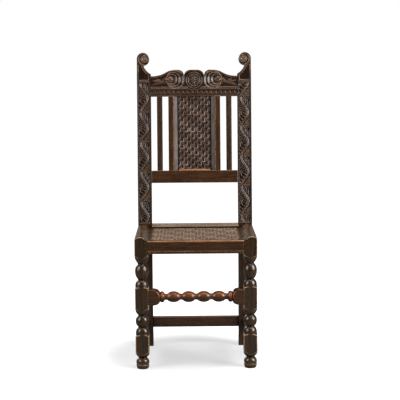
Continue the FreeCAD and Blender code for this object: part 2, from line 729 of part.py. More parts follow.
def back_rail():
    """Rail between the posts; its bevelled top and its ledge reach in front of them."""
    face = size.seat_depth - size.back_rail_reach
    back = size.seat_depth + size.back_rail_thickness
    face_top = size.seat_height + size.back_rail_face_rise
    top = size.seat_height + size.back_rail_top_rise
    between = box("back_rail_between", (-post_inner, post_inner), (size.seat_depth, back),
                  (seat_low, top))
    section = [(face, seat_low), (size.seat_depth, seat_low), (size.seat_depth, top),
               (face, face_top)]
    reach = padded("back_rail_reach", "YZ_Plane", section, {}, -leg_inner, leg_inner)
    ledge_half = leg_inner - size.ledge_width
    ledge = box("back_rail_ledge", (-ledge_half, ledge_half),
                (face - size.ledge_width, face),
                (size.seat_height - size.ledge_thickness, size.seat_height))
    rebate = box("back_rail_rebate", (-recess_half, recess_half), (0, recess_back),
                 (recess_floor, dome_top))
    right_tenon = box("back_rail_tenon", back_tenon_x, back_tenon_y, side_tenon_z)
    left_tenon = mirrored("back_rail_tenon_mirror", right_tenon)
    holes = both_sides("back_rail_holes", back_rail_holes)
    whole = fuse("back_rail_whole", between, reach, ledge, right_tenon, left_tenon)
    finish(cut("back_rail_cut", whole, rebate, *holes), "seat_rail_back")


def woven_seat():
    """The woven seat lies on the shelf that runs round inside the rails."""
    gap = size.fit_clearance
    panel = box("woven_seat", (-recess_half + gap, recess_half - gap),
                (recess_front + gap, recess_back - gap), (recess_floor, size.seat_height))
    finish(compound("woven_seat_slab", [panel]), "woven_seat_panel")


def front_stretcher():
    """Square ends flush with the legs, four bobbins and two half bobbins between them."""
    half_neck = size.bobbin_neck_width / 2
    neck = size.bobbin_neck_radius
    outer_neck = leg_inner - size.stretcher_end_run
    pitch = outer_neck / 2
    crown = (size.end_bobbin_radius, outer_neck + size.end_bobbin_run)
    quirk = (size.quirk_radius, outer_neck + size.quirk_run)
    end = swell(crown, (neck, outer_neck + half_neck))[::-1] + swell(crown, quirk)[1:]
    end += swell((size.end_shoulder_radius, leg_inner), quirk)[-2::-1]
    rings = [(radius, -distance) for radius, distance in reversed(end)]
    for step in (-2, -1, 0, 1):
        start = pitch * step
        rings += ball((neck, start + half_neck), (size.bobbin_radius, start + pitch / 2),
                      (neck, start + pitch - half_neck))
    turning = place(turned("front_stretcher", rings + end), y=stretcher_axis_y,
                    z=size.stretcher_height, turn=ALONG_X)
    stock = box("stretcher_stock", (-leg_inner, leg_inner), (0, size.stretcher_stock_depth),
                (size.stretcher_height - size.stretcher_stock_height / 2,
                 size.stretcher_height + size.stretcher_stock_height / 2))
    blank = common("front_stretcher_blank", stock, turning)
    right_tenon = box("front_stretcher_tenon", front_tenon_x, stretcher_tenon_y,
                      stretcher_tenon_z)
    left_tenon = mirrored("front_stretcher_tenon_mirror", right_tenon)
    whole = fuse("front_stretcher_whole", blank, right_tenon, left_tenon)
    holes = both_sides("front_stretcher_holes", front_stretcher_holes)
    finish(cut("front_stretcher_cut", whole, *holes), "front_stretcher")


def post_section():
    """Side view of the back post in the bench frame: canted heel, upright, raked stile."""
    rise = size.back_rake.cosine() * ear_top
    lean = size.back_rake.sine() * ear_top
    top_back = size.back_rake.cosine() * size.post_top_depth
    top_drop = size.back_rake.sine() * size.post_top_depth
    heel = size.seat_depth + size.heel_cant
    return [(heel, 0), (heel + size.post_foot_depth, 0),
            (size.seat_depth + size.post_depth, cant_height),
            (size.seat_depth + size.post_depth, bend_height),
            (size.seat_depth + lean + top_back, bend_height + rise - top_drop),
            (size.seat_depth + lean, bend_height + rise),
            (size.seat_depth, bend_height), (size.seat_depth, cant_height)]


def back_post():
    """Sawn to the side view, then to the front view with its scrolled ear."""
    blank = padded("back_post_side", "YZ_Plane", post_section(), {}, post_inner, half_width)
    ear_x = half_width - size.ear_radius
    cusp = ear_x - half_width + size.ear_neck_width
    drop = (size.ear_radius * size.ear_radius - cusp * cusp).root()
    front = [(post_inner, -bend_height), (half_width, -bend_height),
             (half_width, ear_centre), (ear_x, ear_top),
             (ear_x - size.ear_radius, ear_centre),
             (half_width - size.ear_neck_width, ear_centre - drop),
             (post_inner, crest_shoulder + size.ear_foot_rise)]
    arcs = {2: (size.ear_radius, -1), 3: (size.ear_radius, -1), 4: (size.ear_radius, -1),
            5: (size.ear_hollow_radius, 1)}
    view = padded("back_post_front", "XZ_Plane", front, arcs, -size.seat_depth,
                  size.seat_depth)
    face = raked_tools("back_post_face", view)
    post = common("back_post_blank", blank, face)
    tools = [
        mortise("post_side_rail_mortise", side_tenon_x, side_back_tenon_y, side_tenon_z,
                "+y"),
        mortise("post_back_rail_mortise", back_tenon_x, back_tenon_y, side_tenon_z, "+x"),
        mortise("post_low_mortise", low_tenon_x, low_back_tenon_y, low_tenon_z, "+y"),
        mortise("post_rear_mortise", rear_tenon_x, rear_tenon_y, rear_tenon_z, "+x"),
        raked_tools(
            "post_raked_tools",
            mortise("post_crest_mortise", crest_tenon_x, crest_tenon_y, crest_tenon_z,
                    "+x"),
            mortise("post_lower_rail_mortise", crest_tenon_x, lower_tenon_y, lower_tenon_z,
                    "+x"),
            *crest_holes, *lower_rail_holes)]
    tools += side_back_holes + back_rail_holes + rear_stretcher_holes
    tools += side_stretcher_holes[1:]
    finish_pair(cut("back_post_cut", post, *tools), "back_post")


def low_stretchers():
    """Plain stretchers: the side ones are scribed to the canted back posts."""
    long_way = (size.leg_square, size.seat_depth + size.post_depth)
    bar = box("side_stretcher_bar", side_stretcher_x, long_way, side_stretcher_z)
    post = padded("side_stretcher_scribe", "YZ_Plane", post_section(), {}, post_inner,
                  half_width)
    scribed = cut("side_stretcher_scribed", bar, post)
    front_tenon = box("side_stretcher_front_tenon", low_tenon_x, low_front_tenon_y,
                      low_tenon_z)
    back_tenon = box("side_stretcher_back_tenon", low_tenon_x, low_back_tenon_y,
                     low_tenon_z)
    whole = fuse("side_stretcher_whole", scribed, front_tenon, back_tenon)
    finish_pair(cut("side_stretcher_cut", whole, *side_stretcher_holes), "side_stretcher")
    rear = box("rear_stretcher_bar", (-post_inner, post_inner), rear_stretcher_y,
               rear_stretcher_z)
    right_tenon = box("rear_stretcher_tenon", rear_tenon_x, rear_tenon_y, rear_tenon_z)
    left_tenon = mirrored("rear_stretcher_tenon_mirror", right_tenon)
    whole = fuse("rear_stretcher_whole", rear, right_tenon, left_tenon)
    holes = both_sides("rear_stretcher_holes", rear_stretcher_holes)
    finish(cut("rear_stretcher_cut", whole, *holes), "rear_stretcher")


def stub_tenon(name, x, face, thickness, start, end):
    """Tenons at both ends of an upright, set in from its edges and centred in it."""
    low = face + thickness / 2 - size.stub_tenon_thickness / 2
    inset = size.slat_chamfer
    spans = [(start - size.stub_tenon_length, start), (end, end + size.stub_tenon_length)]
    across = (x[0] + inset, x[1] - inset)
    depth = (low, low + size.stub_tenon_thickness)
    tenons = [box(f"{name}_tenon_{number}", across, depth, span)
              for number, span in enumerate(spans)]
    holes = [mortise(f"{name}_mortise_0", across, depth, spans[0], "-z"),
             mortise(f"{name}_mortise_1", across, depth, spans[1], "+z")]
    return tenons, holes


def uprights():
    """Thin slats and moulded muntins; hands back their mortises for the two rails."""
    start, end = lower_rail_end, crest_start
    slat_middle = (post_inner + muntin_outer) / 2
    slat_x = (slat_middle - size.slat_width / 2, slat_middle + size.slat_width / 2)
    slat_y = (size.slat_setback, size.slat_setback + size.slat_thickness)
    chamfer = size.slat_chamfer
    section = [(slat_x[0], slat_y[0] + chamfer), (slat_x[0] + chamfer, slat_y[0]),
               (slat_x[1] - chamfer, slat_y[0]), (slat_x[1], slat_y[0] + chamfer),
               (slat_x[1], slat_y[1]), (slat_x[0], slat_y[1])]
    slat = padded("slat", "XY_Plane", section, {}, start, end)
    tenons, slat_holes = stub_tenon("slat", slat_x, size.slat_setback, size.slat_thickness,
                                    start, end)
    finish_pair(fuse("slat_whole", slat, *tenons), "back_slat", raked=True)

    flat = muntin_outer - size.muntin_flat
    low = muntin_inner + size.moulding_fillet
    groove = muntin_inner + size.panel_groove
    gap = size.fit_clearance
    groove_y = (size.panel_setback - gap, size.panel_setback + size.panel_thickness + gap)
    section = [(muntin_outer, 0), (flat, 0), (flat, size.moulding_quirk),
               (low, size.moulding_depth), (muntin_inner, size.moulding_depth),
               (muntin_inner, groove_y[0]), (groove, groove_y[0]), (groove, groove_y[1]),
               (muntin_inner, groove_y[1]), (muntin_inner, size.muntin_thickness),
               (muntin_outer, size.muntin_thickness)]
    arcs = {2: (quarter(flat - low, size.moulding_depth - size.moulding_quirk), 1)}
    muntin = padded("muntin", "XY_Plane", section, arcs, start, end)
    tenons, muntin_holes = stub_tenon("muntin", (flat, muntin_outer), groove_y[1] - gap,
                                      size.stub_tenon_thickness, start, end)
    finish_pair(fuse("muntin_whole", muntin, *tenons), "back_muntin", raked=True)
    return [slat_holes[0], muntin_holes[0]], [slat_holes[1], muntin_holes[1]]


def back_panel():
    """Woven panel held in grooves on all four sides, and the strip at its foot."""
    gap = size.fit_clearance
    reach = size.panel_groove - gap * 2
    half = muntin_inner + reach
    thick = (size.panel_setback, size.panel_setback + size.panel_thickness)
    panel = box("woven_back", (-half, half), thick,
                (lower_rail_end - reach, crest_start + reach))
    finish(compound("woven_back_slab", [panel]), "woven_back_panel", raked=True)
    foot = lower_rail_end
    back = size.panel_setback - gap
    section = [(0, foot), (back, foot), (back, foot + size.sill_height),
               (0, foot + size.sill_edge)]
    arcs = {2: (quarter(back, size.sill_height - size.sill_edge), -1)}
    sill = padded("panel_sill_strip", "YZ_Plane", section, arcs,
                  -muntin_inner + gap, muntin_inner - gap)
    finish(compound("panel_sill_piece", [sill]), "panel_sill", raked=True)


def panel_groove(name, z):
    """Groove for the woven panel in the edge of a rail."""
    gap = size.fit_clearance
    half = muntin_inner + size.panel_groove
    thick = (size.panel_setback - gap, size.panel_setback + size.panel_thickness + gap)
    return box(name, (-half, half), thick, z)


def lower_back_rail(mortises):
    """Plain rail under the uprights."""
    body = box("lower_rail_body", (-post_inner, post_inner), (0, size.lower_rail_thickness),
               (size.lower_rail_start, lower_rail_end))
    right_tenon = box("lower_rail_tenon", crest_tenon_x, lower_tenon_y, lower_tenon_z)
    left_tenon = mirrored("lower_rail_tenon_mirror", right_tenon)
    whole = fuse("lower_rail_whole", body, right_tenon, left_tenon)
    groove = panel_groove("lower_rail_groove", (lower_rail_end - size.panel_groove,
                                                lower_rail_end))
    holes = both_sides("lower_rail_holes", lower_rail_holes + mortises)
    finish(cut("lower_rail_cut", whole, groove, *holes), "lower_back_rail", raked=True)


def crest_rail(mortises):
    """Three lobes with notches between them; the outer ones fall to the stiles in an ogee."""
    x = {name: post_inner * share for name, share in CREST_SHARES.items()}
    notch = crest_shoulder + size.notch_rise
    peak = crest_shoulder + size.lobe_rise
    lobe = size.lobe_rise - size.notch_rise
    upper_run = x["ogee_middle"] - x["lobe_outer"]
    lower_run = x["ogee_end"] - x["ogee_middle"]
    lower_rise = grown(size.lobe_rise, lower_run, lower_run + upper_run)
    upper_rise = grown(size.lobe_rise, upper_run, lower_run + upper_run)
    half = [(post_inner, crest_shoulder), (x["ogee_end"], crest_shoulder),
            (x["ogee_middle"], crest_shoulder + lower_rise), (x["lobe_outer"], peak),
            (x["lobe_inner"], peak), (x["notch"], notch), (x["centre_flat"], peak)]
    curves = [None, (quarter(lower_run, lower_rise), 1), (quarter(upper_run, upper_rise), -1),
              None, (quarter(x["lobe_inner"] - x["notch"], lobe), -1),
              (quarter(x["notch"] - x["centre_flat"], lobe), -1)]
    corners = [(-post_inner, crest_start), (post_inner, crest_start)] + half
    corners += [(-x, z) for x, z in reversed(half)]
    arcs = {}
    for number, curve in enumerate(curves):
        if curve is not None:
            arcs[2 + number] = curve
            arcs[len(corners) - 2 - number] = curve
    body = padded("crest_body", "XZ_Plane", corners, arcs, 0, size.crest_thickness)
    right_tenon = box("crest_tenon", crest_tenon_x, crest_tenon_y, crest_tenon_z)
    left_tenon = mirrored("crest_tenon_mirror", right_tenon)
    whole = fuse("crest_whole", body, right_tenon, left_tenon)
    groove = panel_groove("crest_groove",
                          (crest_start, crest_start + size.panel_groove))
    holes = both_sides("crest_holes", crest_holes + mortises)
    finish(cut("crest_cut", whole, groove, *holes), "crest_rail", raked=True)


def peg_groups():
    """Each joint's pegs, on both sides, are one group of separate solids."""
    groups = {
        "front_rail_pegs": front_rail_pegs,
        "front_stretcher_pegs": front_stretcher_pegs,
        "side_rail_pegs": side_front_pegs + side_back_pegs,
        "back_rail_pegs": back_rail_pegs,
        "side_stretcher_pegs": side_stretcher_pegs,
        "rear_stretcher_pegs": rear_stretcher_pegs}
    raked_groups = {"crest_pegs": crest_pegs, "lower_back_rail_pegs": lower_rail_pegs}
    for label, pegs in {**groups, **raked_groups}.items():
        group = compound(label + "_group", both_sides(label, pegs))
        finish(group, label, raked=label in raked_groups)


front_leg()
side_rail()
front_rail()
back_rail()
woven_seat()
front_stretcher()
back_post()
low_stretchers()
lower_mortises, crest_mortises = uprights()
back_panel()
lower_back_rail(lower_mortises)
crest_rail(crest_mortises)
peg_groups()
doc.recompute()


def check(document, nodes):
    """Stop if any object failed or any sub-part is not a sound solid."""
    for item in document.Objects:
        if "Invalid" in item.State or "Error" in item.State:
            raise RuntimeError(f"{item.Label} failed: {item.State}")
    for node in nodes:
        if node.Shape.isNull() or not node.Shape.isValid():
            raise RuntimeError(f"{node.Label} is not a valid shape")


check(doc, NODES)
os.makedirs("parts", exist_ok=True)
for node in NODES:
    node.Shape.exportStep(f"parts/{node.Label}.step")
    extent = node.Shape.optimalBoundingBox()
    print(node.Label, len(node.Shape.Solids), round(node.Shape.Volume), extent)
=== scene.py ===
import math

import bpy
import numpy as np
from mathutils import Matrix


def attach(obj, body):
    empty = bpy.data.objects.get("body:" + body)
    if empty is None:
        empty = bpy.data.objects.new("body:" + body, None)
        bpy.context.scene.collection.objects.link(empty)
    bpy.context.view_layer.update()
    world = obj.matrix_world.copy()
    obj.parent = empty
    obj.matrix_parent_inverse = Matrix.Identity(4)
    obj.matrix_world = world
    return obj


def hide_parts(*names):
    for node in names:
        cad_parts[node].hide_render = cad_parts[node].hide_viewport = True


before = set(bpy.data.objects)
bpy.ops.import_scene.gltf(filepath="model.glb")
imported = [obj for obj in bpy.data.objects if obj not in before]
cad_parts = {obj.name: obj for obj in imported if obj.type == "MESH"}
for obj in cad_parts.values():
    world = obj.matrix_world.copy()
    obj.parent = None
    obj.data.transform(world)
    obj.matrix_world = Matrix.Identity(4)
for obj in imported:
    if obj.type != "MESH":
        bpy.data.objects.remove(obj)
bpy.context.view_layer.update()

# Back posts: stile and back leg are one piece of riven oak, sawn to the side view with the bend
# at the seat, carved in front with a running vine and finished with a scrolled ear. The rails
# are tenoned and pegged into it. Lengths here and below are in millimetres.
INSET = 0.2  # pieces are drawn this far inside their solids
POST_INNER, POST_OUTER, POST_MIDDLE = 172.5, 227.5, 200
SEAT_BACK_Y, BEND_Z, RAKE = 122.55, 502.0, math.radians(6)
POST_REAR_Y, POST_DEPTH, POST_THINNING, POST_LENGTH = 164.55, 42, 8, 680.1
LEG_TAPER_Z, FOOT_FRONT, FOOT_REAR = 425, 11, 7  # the leg runs back this far at its foot
EAR_X, EAR_Z, EAR_RADIUS, NECK_X, NECK_Z = 203.0, 655.6, 24.5, 200.9, 631.2
HOLLOW_RADIUS, HOLLOW_FOOT = 56.5, 595.5
EAR_MARGIN, EAR_FIELD_FOOT, EAR_FIELD_DEEP = 8.8, 571, 2.4
VINE_PITCH, VINE_SWAY, VINE_DEEP, VINE_START = 118.0, 14.0, 2.9, {-1: 54.0, 1: -3.0}
FIELD_HALF, FIELD_TOP, CROSS_LINE = 22.6, 560, 567
# Painted shade on the stiles' face margins and arrises stops at these heights.
SHADED_BORDER_TOP_Z, SHADED_EDGE_TOP_Z = 1098, 1110  # above the floor
POST_FACE = 54  # columns of points across the carved face


def linear(code):
    """Linear colour of an sRGB hex value: each channel through the sRGB curve."""
    channels = np.array([int(code[i:i + 2], 16) / 255 for i in (1, 3, 5)])
    curved = np.where(channels <= 0.04045, channels / 12.92, ((channels + 0.055) / 1.055) ** 2.4)
    return (*curved.tolist(), 1.0)


def add(tree, kind, settings=None, links=None, stops=()):
    """Adds a node: settings are attributes or input values, links name the sockets it reads,
    and stops are the places from 0 to 1 and the hex colours that a colour ramp runs through."""
    node = tree.nodes.new(kind)
    for key, value in (settings or {}).items():
        if isinstance(key, str) and hasattr(node, key):
            setattr(node, key, value)
        else:
            node.inputs[key].default_value = value
    for key, source in (links or {}).items():
        tree.links.new(source, node.inputs[key])
    if stops:
        elements = node.color_ramp.elements
        while len(elements) < len(stops):
            elements.new(0.5)
        for number, (place, code) in enumerate(stops):
            elements[number].position, elements[number].color = place, linear(code)
    return node


def waxed_oak(name, dark, middle, light, rubbed, grime_and_shade_colour, roughness=0.25, gloss=0.5, marked=True):
    """Oak under old wax: streaks and pores drawn out along the grain, arrises rubbed to a lighter
    brown, hollows filled with dark wax. On some pieces the same lighter and dark colours also
    paint highlights and shade. Pores are 0.3 mm wide in the real wood and drawn 1.4 mm wide
    here, so that they show. Unmarked pieces have no worn, grimy or painted places."""
    material = bpy.data.materials.new(name)
    material.use_nodes = True
    tree = material.node_tree
    shader = tree.nodes["Principled BSDF"]
    if marked:
        grain = add(tree, "ShaderNodeAttribute", {"attribute_name": "grain"}).outputs["Vector"]
    else:
        grain = add(tree, "ShaderNodeTexCoord").outputs["Object"]

    def streaks(along, across, detail, seed):
        """Noise drawn out along the grain, in streaks so long and so wide, in metres."""
        scaled = add(tree, "ShaderNodeMapping",
                     {"Scale": (1 / along, 1 / across, 1 / across),
                      "Location": (seed, seed * 0.7, seed * 1.3)}, {"Vector": grain})
        return add(tree, "ShaderNodeTexNoise", {"Scale": 1.0, "Detail": detail,
                                                "Roughness": 0.6},
                   {"Vector": scaled.outputs["Vector"]}).outputs["Fac"]

    broad = streaks(along=0.110, across=0.009, detail=3.0, seed=1.0)
    fine = streaks(along=0.030, across=0.0022, detail=2.0, seed=7.0)
    pores = streaks(along=0.012, across=0.0014, detail=1.0, seed=13.0)
    patches = streaks(along=0.045, across=0.030, detail=2.0, seed=23.0)
    mixed = add(tree, "ShaderNodeMath", {"operation": "MULTIPLY_ADD", 1: 0.45},
                {0: fine, 2: add(tree, "ShaderNodeMath", {"operation": "MULTIPLY", 1: 0.55},
                                 {0: broad}).outputs[0]}).outputs[0]
    wood = add(tree, "ShaderNodeValToRGB", links={"Fac": mixed},
               stops=[(0.34, dark), (0.5, middle), (0.68, light)]).outputs["Color"]
    pore_mask = add(tree, "ShaderNodeMapRange", {"From Min": 0.36, "From Max": 0.27},
                    {"Value": pores}).outputs[0]
    wood = add(tree, "ShaderNodeMix", {"data_type": "RGBA", 7: linear(grime_and_shade_colour)},
               {0: add(tree, "ShaderNodeMath", {"operation": "MULTIPLY", 1: 0.75},
                       {0: pore_mask}).outputs[0], 6: wood}).outputs[2]
    rough = add(tree, "ShaderNodeMapRange", {"From Min": 0.3, "From Max": 0.7,
                                             "To Min": roughness - 0.07,
                                             "To Max": roughness + 0.1},
                {"Value": patches}).outputs[0]
    shader.inputs["Specular IOR Level"].default_value = gloss
    if marked:
        wear_and_painted_light = add(tree, "ShaderNodeAttribute", {"attribute_name": "wear_and_painted_light"}).outputs["Fac"]
        patchy = add(tree, "ShaderNodeMapRange", {"From Min": 0.3, "From Max": 0.62,
                                                  "To Min": 0.35, "To Max": 1.0},
                     {"Value": patches}).outputs[0]
        # Rubbed colour where the attribute is high: real rubbing, and on some pieces a painted
        # highlight.
        bare = add(tree, "ShaderNodeMapRange", {"From Min": 0.6, "From Max": 0.95},
                   {"Value": wear_and_painted_light}).outputs[0]
        bare = add(tree, "ShaderNodeMath", {"operation": "MULTIPLY"},
                   {0: bare, 1: patchy}).outputs[0]
        wood = add(tree, "ShaderNodeMix", {"data_type": "RGBA", 7: linear(rubbed)},
                   {0: bare, 6: wood}).outputs[2]
        # Grime where the attribute is low: dark wax in hollows, and on some pieces painted shade.
        grime_and_painted_shade = add(tree, "ShaderNodeMapRange", {"From Min": 0.46, "From Max": 0.1,
                                                 "To Max": 0.9}, {"Value": wear_and_painted_light}).outputs[0]
        wood = add(tree, "ShaderNodeMix", {"data_type": "RGBA", 7: linear(grime_and_shade_colour)},
                   {0: grime_and_painted_shade, 6: wood}).outputs[2]
        rough = add(tree, "ShaderNodeMath", {"operation": "MULTIPLY_ADD", 1: 0.2},
                    {0: grime_and_painted_shade, 2: rough}).outputs[0]
        shine = add(tree, "ShaderNodeMath",
                    {"operation": "MULTIPLY_ADD", 1: -0.95 * gloss, 2: gloss}, {0: grime_and_painted_shade})
        tree.links.new(shine.outputs[0], shader.inputs["Specular IOR Level"])
    tree.links.new(wood, shader.inputs["Base Color"])
    tree.links.new(rough, shader.inputs["Roughness"])
    relief = add(tree, "ShaderNodeMath", {"operation": "MULTIPLY_ADD", 1: -0.5},
                 {0: pore_mask, 2: fine}).outputs[0]
    bump = add(tree, "ShaderNodeBump", {"Strength": 0.3, "Distance": 0.0004},
               {"Height": relief})
    tree.links.new(bump.outputs["Normal"], shader.inputs["Normal"])
    shader.inputs["IOR"].default_value = 1.5
    return material


def smooth(low, high, value):
    """0 below low, 1 above high and the S-curve 3t^2 - 2t^3 between them."""
    t = np.clip((value - low) / (high - low), 0, 1)
    return t * t * (3 - 2 * t)


def sweep(value, flat, flat_rise, end, end_rise):
    """Height of the circular arc that starts level at (flat, flat_rise) and ends at
    (end, end_rise): its radius is (run^2 + rise^2) / (2 rise)."""
    run, rise = end - flat, end_rise - flat_rise
    radius = (run * run + rise * rise) / (2 * abs(rise))
    reach = np.clip(np.abs(value - flat), 0, abs(run))
    return flat_rise + math.copysign(1, rise) * (radius - np.sqrt(radius ** 2 - reach ** 2))


def convexity(rows):
    """Curvature of a grid closed across its columns, summed along both directions, per mm:
    second differences over uneven steps, measured along the surface normal."""
    ahead, behind = np.roll(rows, -1, 1) - rows, rows - np.roll(rows, 1, 1)
    up, down = np.zeros_like(rows), np.zeros_like(rows)
    up[:-1] = rows[1:] - rows[:-1]
    down[1:] = rows[1:] - rows[:-1]
    up[-1], down[0] = down[-1], up[0]
    normal = np.cross(ahead + behind, up + down)
    normal /= np.maximum(np.linalg.norm(normal, axis=2, keepdims=True), 1e-9)
    total = 0
    for forward, backward in ((ahead, behind), (up, down)):
        a = np.maximum(np.linalg.norm(forward, axis=2, keepdims=True), 1e-3)
        b = np.maximum(np.linalg.norm(backward, axis=2, keepdims=True), 1e-3)
        total = total + 2 / (a + b) * (forward / a - backward / b)
    return -(total * normal).sum(2)


def make(name, rows, finish, nodes, along, ends=("face", "face"), wear_and_painted_light=None, rub=1.2,
         sunk=0.0, calm=0.0):
    """Joins a grid of points into a closed piece: rows run along it, columns close round it,
    and each end is one face or a fan round its middle. It stands for the CAD nodes given.
    Wear is a half, more where the surface bulges and less where it is sunk, in mm, and a
    negative sunk is rubbed. Calm is 1 where a neighbour keeps an arris from being rubbed,
    above 1 where it is dark, and negative where it is rubbed more. Some pieces pass sunk and
    calm to paint shade dark and highlights light, not only for dirt and rubbing."""
    count, across = rows.shape[:2]
    places = np.arange(count * across).reshape(count, across)
    after = np.roll(places, -1, 1)
    quads = np.stack([places[:-1], after[:-1], after[1:], places[1:]], 2).reshape(-1, 4)
    points = rows.reshape(-1, 3)
    corners = points[quads]
    volume = (corners[:, 0] * np.cross(corners[:, 1], corners[:, 2])
              + corners[:, 0] * np.cross(corners[:, 2], corners[:, 3])).sum()
    inside_out = volume < 0
    bulge = convexity(rows) * (-1 if inside_out else 1)
    if wear_and_painted_light is None:
        wear_and_painted_light = np.clip(0.5 + bulge * rub * (1 - calm) - 0.13 * sunk, 0, 1)
    wear_and_painted_light = wear_and_painted_light.reshape(-1)
    faces = quads.tolist()
    flat = []
    for end, row, turned in ((ends[0], 0, True), (ends[1], -1, False)):
        loop = places[row]
        if end == "face":
            flat.append(len(faces))
            faces.append(loop[::-1].tolist() if turned else loop.tolist())
        else:
            points = np.vstack([points, points[loop].mean(0)])
            wear_and_painted_light = np.append(wear_and_painted_light, wear_and_painted_light[loop].mean())
            middle = np.full(across, len(points) - 1)
            fan = np.stack([loop, np.roll(loop, -1), middle], 1)
            faces += (fan[:, ::-1] if turned else fan).tolist()
    if inside_out:
        faces = [face[::-1] for face in faces]
    mesh = bpy.data.meshes.new(name)
    mesh.from_pydata((points * 0.001).tolist(), [], faces)
    mesh.polygons.foreach_set("use_smooth", [face not in flat for face in range(len(faces))])
    mesh.attributes.new("wear_and_painted_light", "FLOAT", "POINT").data.foreach_set(
        "value", wear_and_painted_light.astype(np.float32))
    order = {"x": (0, 1, 2), "y": (1, 0, 2), "z": (2, 0, 1)}[along]
    board = len(bpy.data.meshes) * np.array([0.37, 0.11, 0.23])
    mesh.attributes.new("grain", "FLOAT_VECTOR", "POINT").data.foreach_set(
        "vector", (points[:, order] * 0.001 + board).astype(np.float32).reshape(-1))
    mesh.materials.append(finish)
    mesh.validate()
    piece = bpy.data.objects.new(name, mesh)
    bpy.context.scene.collection.objects.link(piece)
    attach(piece, "root")
    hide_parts(*nodes)
    return piece


def board(low, high, depth, arris, across):
    """Cross sections of a board, one for each place along it, as (place across, depth) round
    the front from low to high, the high edge, the back and the low edge. Arrises are quarter
    circles. The first columns, as many as across says, are the front face."""
    low, high, depth, arris = np.broadcast_arrays(*np.atleast_1d(low, high, depth, arris))
    low, high, depth, arris = (v[:, None] for v in (low, high, depth, arris))
    face = np.linspace(0, 1, across)[None]
    turn = np.radians([15, 45, 75])[None]
    side = np.array([0, 0.07, 0.5, 0.93, 1])[None]
    back = np.array([0, 0.03, 0.25, 0.5, 0.75, 0.97, 1])[None]
    width, thick = high - low - 2 * arris, depth - 2 * arris
    out, rise = np.sin(turn) * arris, (1 - np.cos(turn)) * arris
    place = np.hstack([low + arris + face * width, high - arris + out, high + side * 0,
                       high - arris + out[:, ::-1], high - arris - back * width,
                       low + arris - out, low + side * 0, low + arris - out[:, ::-1]])
    into = np.hstack([face * 0 + arris * 0, rise, arris + side * thick,
                      depth - rise[:, ::-1], depth + back * 0, depth - rise,
                      depth - arris - side * thick, rise[:, ::-1]])
    return place, into


def lean(x, into, up):
    """Back frame to chair: up runs up the rake from the bend, into runs square into the back."""
    y = SEAT_BACK_Y + into * math.cos(RAKE) + up * math.sin(RAKE)
    z = BEND_Z - into * math.sin(RAKE) + up * math.cos(RAKE)
    return np.stack(np.broadcast_arrays(x, y, z), -1)


def leaf(x, z, foot_x, foot_z, turn, length, width):
    """Height from 0 to 1 of a carved leaf: an ellipse-like blade from its foot, turn degrees
    from level, rounded across, with a vein cut down its middle."""
    angle = math.radians(turn)
    along = (x - foot_x) * math.cos(angle) + (z - foot_z) * math.sin(angle)
    beside = (z - foot_z) * math.cos(angle) - (x - foot_x) * math.sin(angle)
    t = np.clip(along / length, 0, 1)
    half = width * np.sin(np.pi * t ** 0.8) + 1e-3
    inside = np.clip(1 - (beside / half) ** 2, 0, 1) * (along > 0) * (along < length)
    vein = 0.5 * np.exp(-(beside / 0.8) ** 2) * (t < 0.85)
    return np.sqrt(inside) * (1 - vein * (inside > 0))


def punched(x, z, pitch=3.4):
    """Depth from 0 to 1 of round punch marks in staggered rows a pitch apart."""
    row = np.round(z / (pitch * 0.87))
    column = np.round(x / pitch + 0.5 * (row % 2)) - 0.5 * (row % 2)
    away = (x - column * pitch) ** 2 + (z - row * pitch * 0.87) ** 2
    return np.exp(-away / (0.27 * pitch) ** 2)


def vine(x, z, start):
    """Relief of the running vine, 0 at the face and negative below it: a sine-shaped stem of
    two strands, each cut steep on one flank and sloped on the other, and leaf strokes laid
    like a herringbone along it, which narrow towards the edge of each bay. A level fillet
    divides one bay from the next."""
    cycle = (z - start) / VINE_PITCH
    divide = (cycle - 0.309 - np.round(cycle - 0.309)) * VINE_PITCH
    sway = VINE_SWAY * np.sin(-2 * np.pi * cycle)
    slope = VINE_SWAY * 2 * np.pi / VINE_PITCH * np.cos(2 * np.pi * cycle)
    beside = (x - sway) / np.sqrt(1 + slope ** 2)
    stem = np.maximum(np.interp(beside, [-4.9, -4.0, -3.4, -0.7, -0.2], [0, 0.85, 0.95, 0.3, 0]),
                      np.interp(beside, [-0.3, 0.5, 1.1, 4.8, 5.4], [0, 0.9, 1, 0.2, 0]))
    stroke = (z - 1.1 * np.abs(beside)) / 10.5 + 0.3 * np.sin(beside / 5.0)
    stroke = np.abs(stroke - np.round(stroke)) / (0.2 + 0.12 * smooth(20, 8, np.abs(beside)))
    leaves = np.sqrt(np.clip(1 - stroke ** 2, 0, 1)) * smooth(5.4, 8.0, np.abs(beside))
    carved = np.maximum(stem, 0.48 * leaves) * smooth(1.6, 3.6, np.abs(divide))
    fillet = 0.68 * smooth(1.5, 0.5, np.abs(divide))
    return -VINE_DEEP + np.maximum(carved, fillet) * (VINE_DEEP - 0.1)


def ear_relief(x, z):
    """Relief of the scroll: the hollow runs on as a slit between the outer ribbon and a disc
    nearer the middle of the chair, which is cut with two rings round a domed eye."""
    across, above = x - (EAR_X - 6.0), z - (EAR_Z - 1.0)
    away, turn = np.hypot(across, above), np.degrees(np.arctan2(above, across))
    slit_radius, disc_radius, ribbon_width = 18.2, 17, 9
    slit = 5.0 * smooth(120, 60, turn) * smooth(-178, -100, turn)
    relief = -slit * np.exp(-((away - slit_radius) / 2.4) ** 2)
    for ring, deep in ((11.5, 2.2), (5.4, 2.0)):
        relief = relief - deep * np.exp(-((away - ring) / 1.5) ** 2)
    ribbon = np.clip((away - slit_radius) / ribbon_width, 0, 1)
    rounded = (away < disc_radius) * (away / disc_radius) ** 4
    return relief - 1.6 * (away > slit_radius) * ribbon ** 2 - 0.8 * rounded


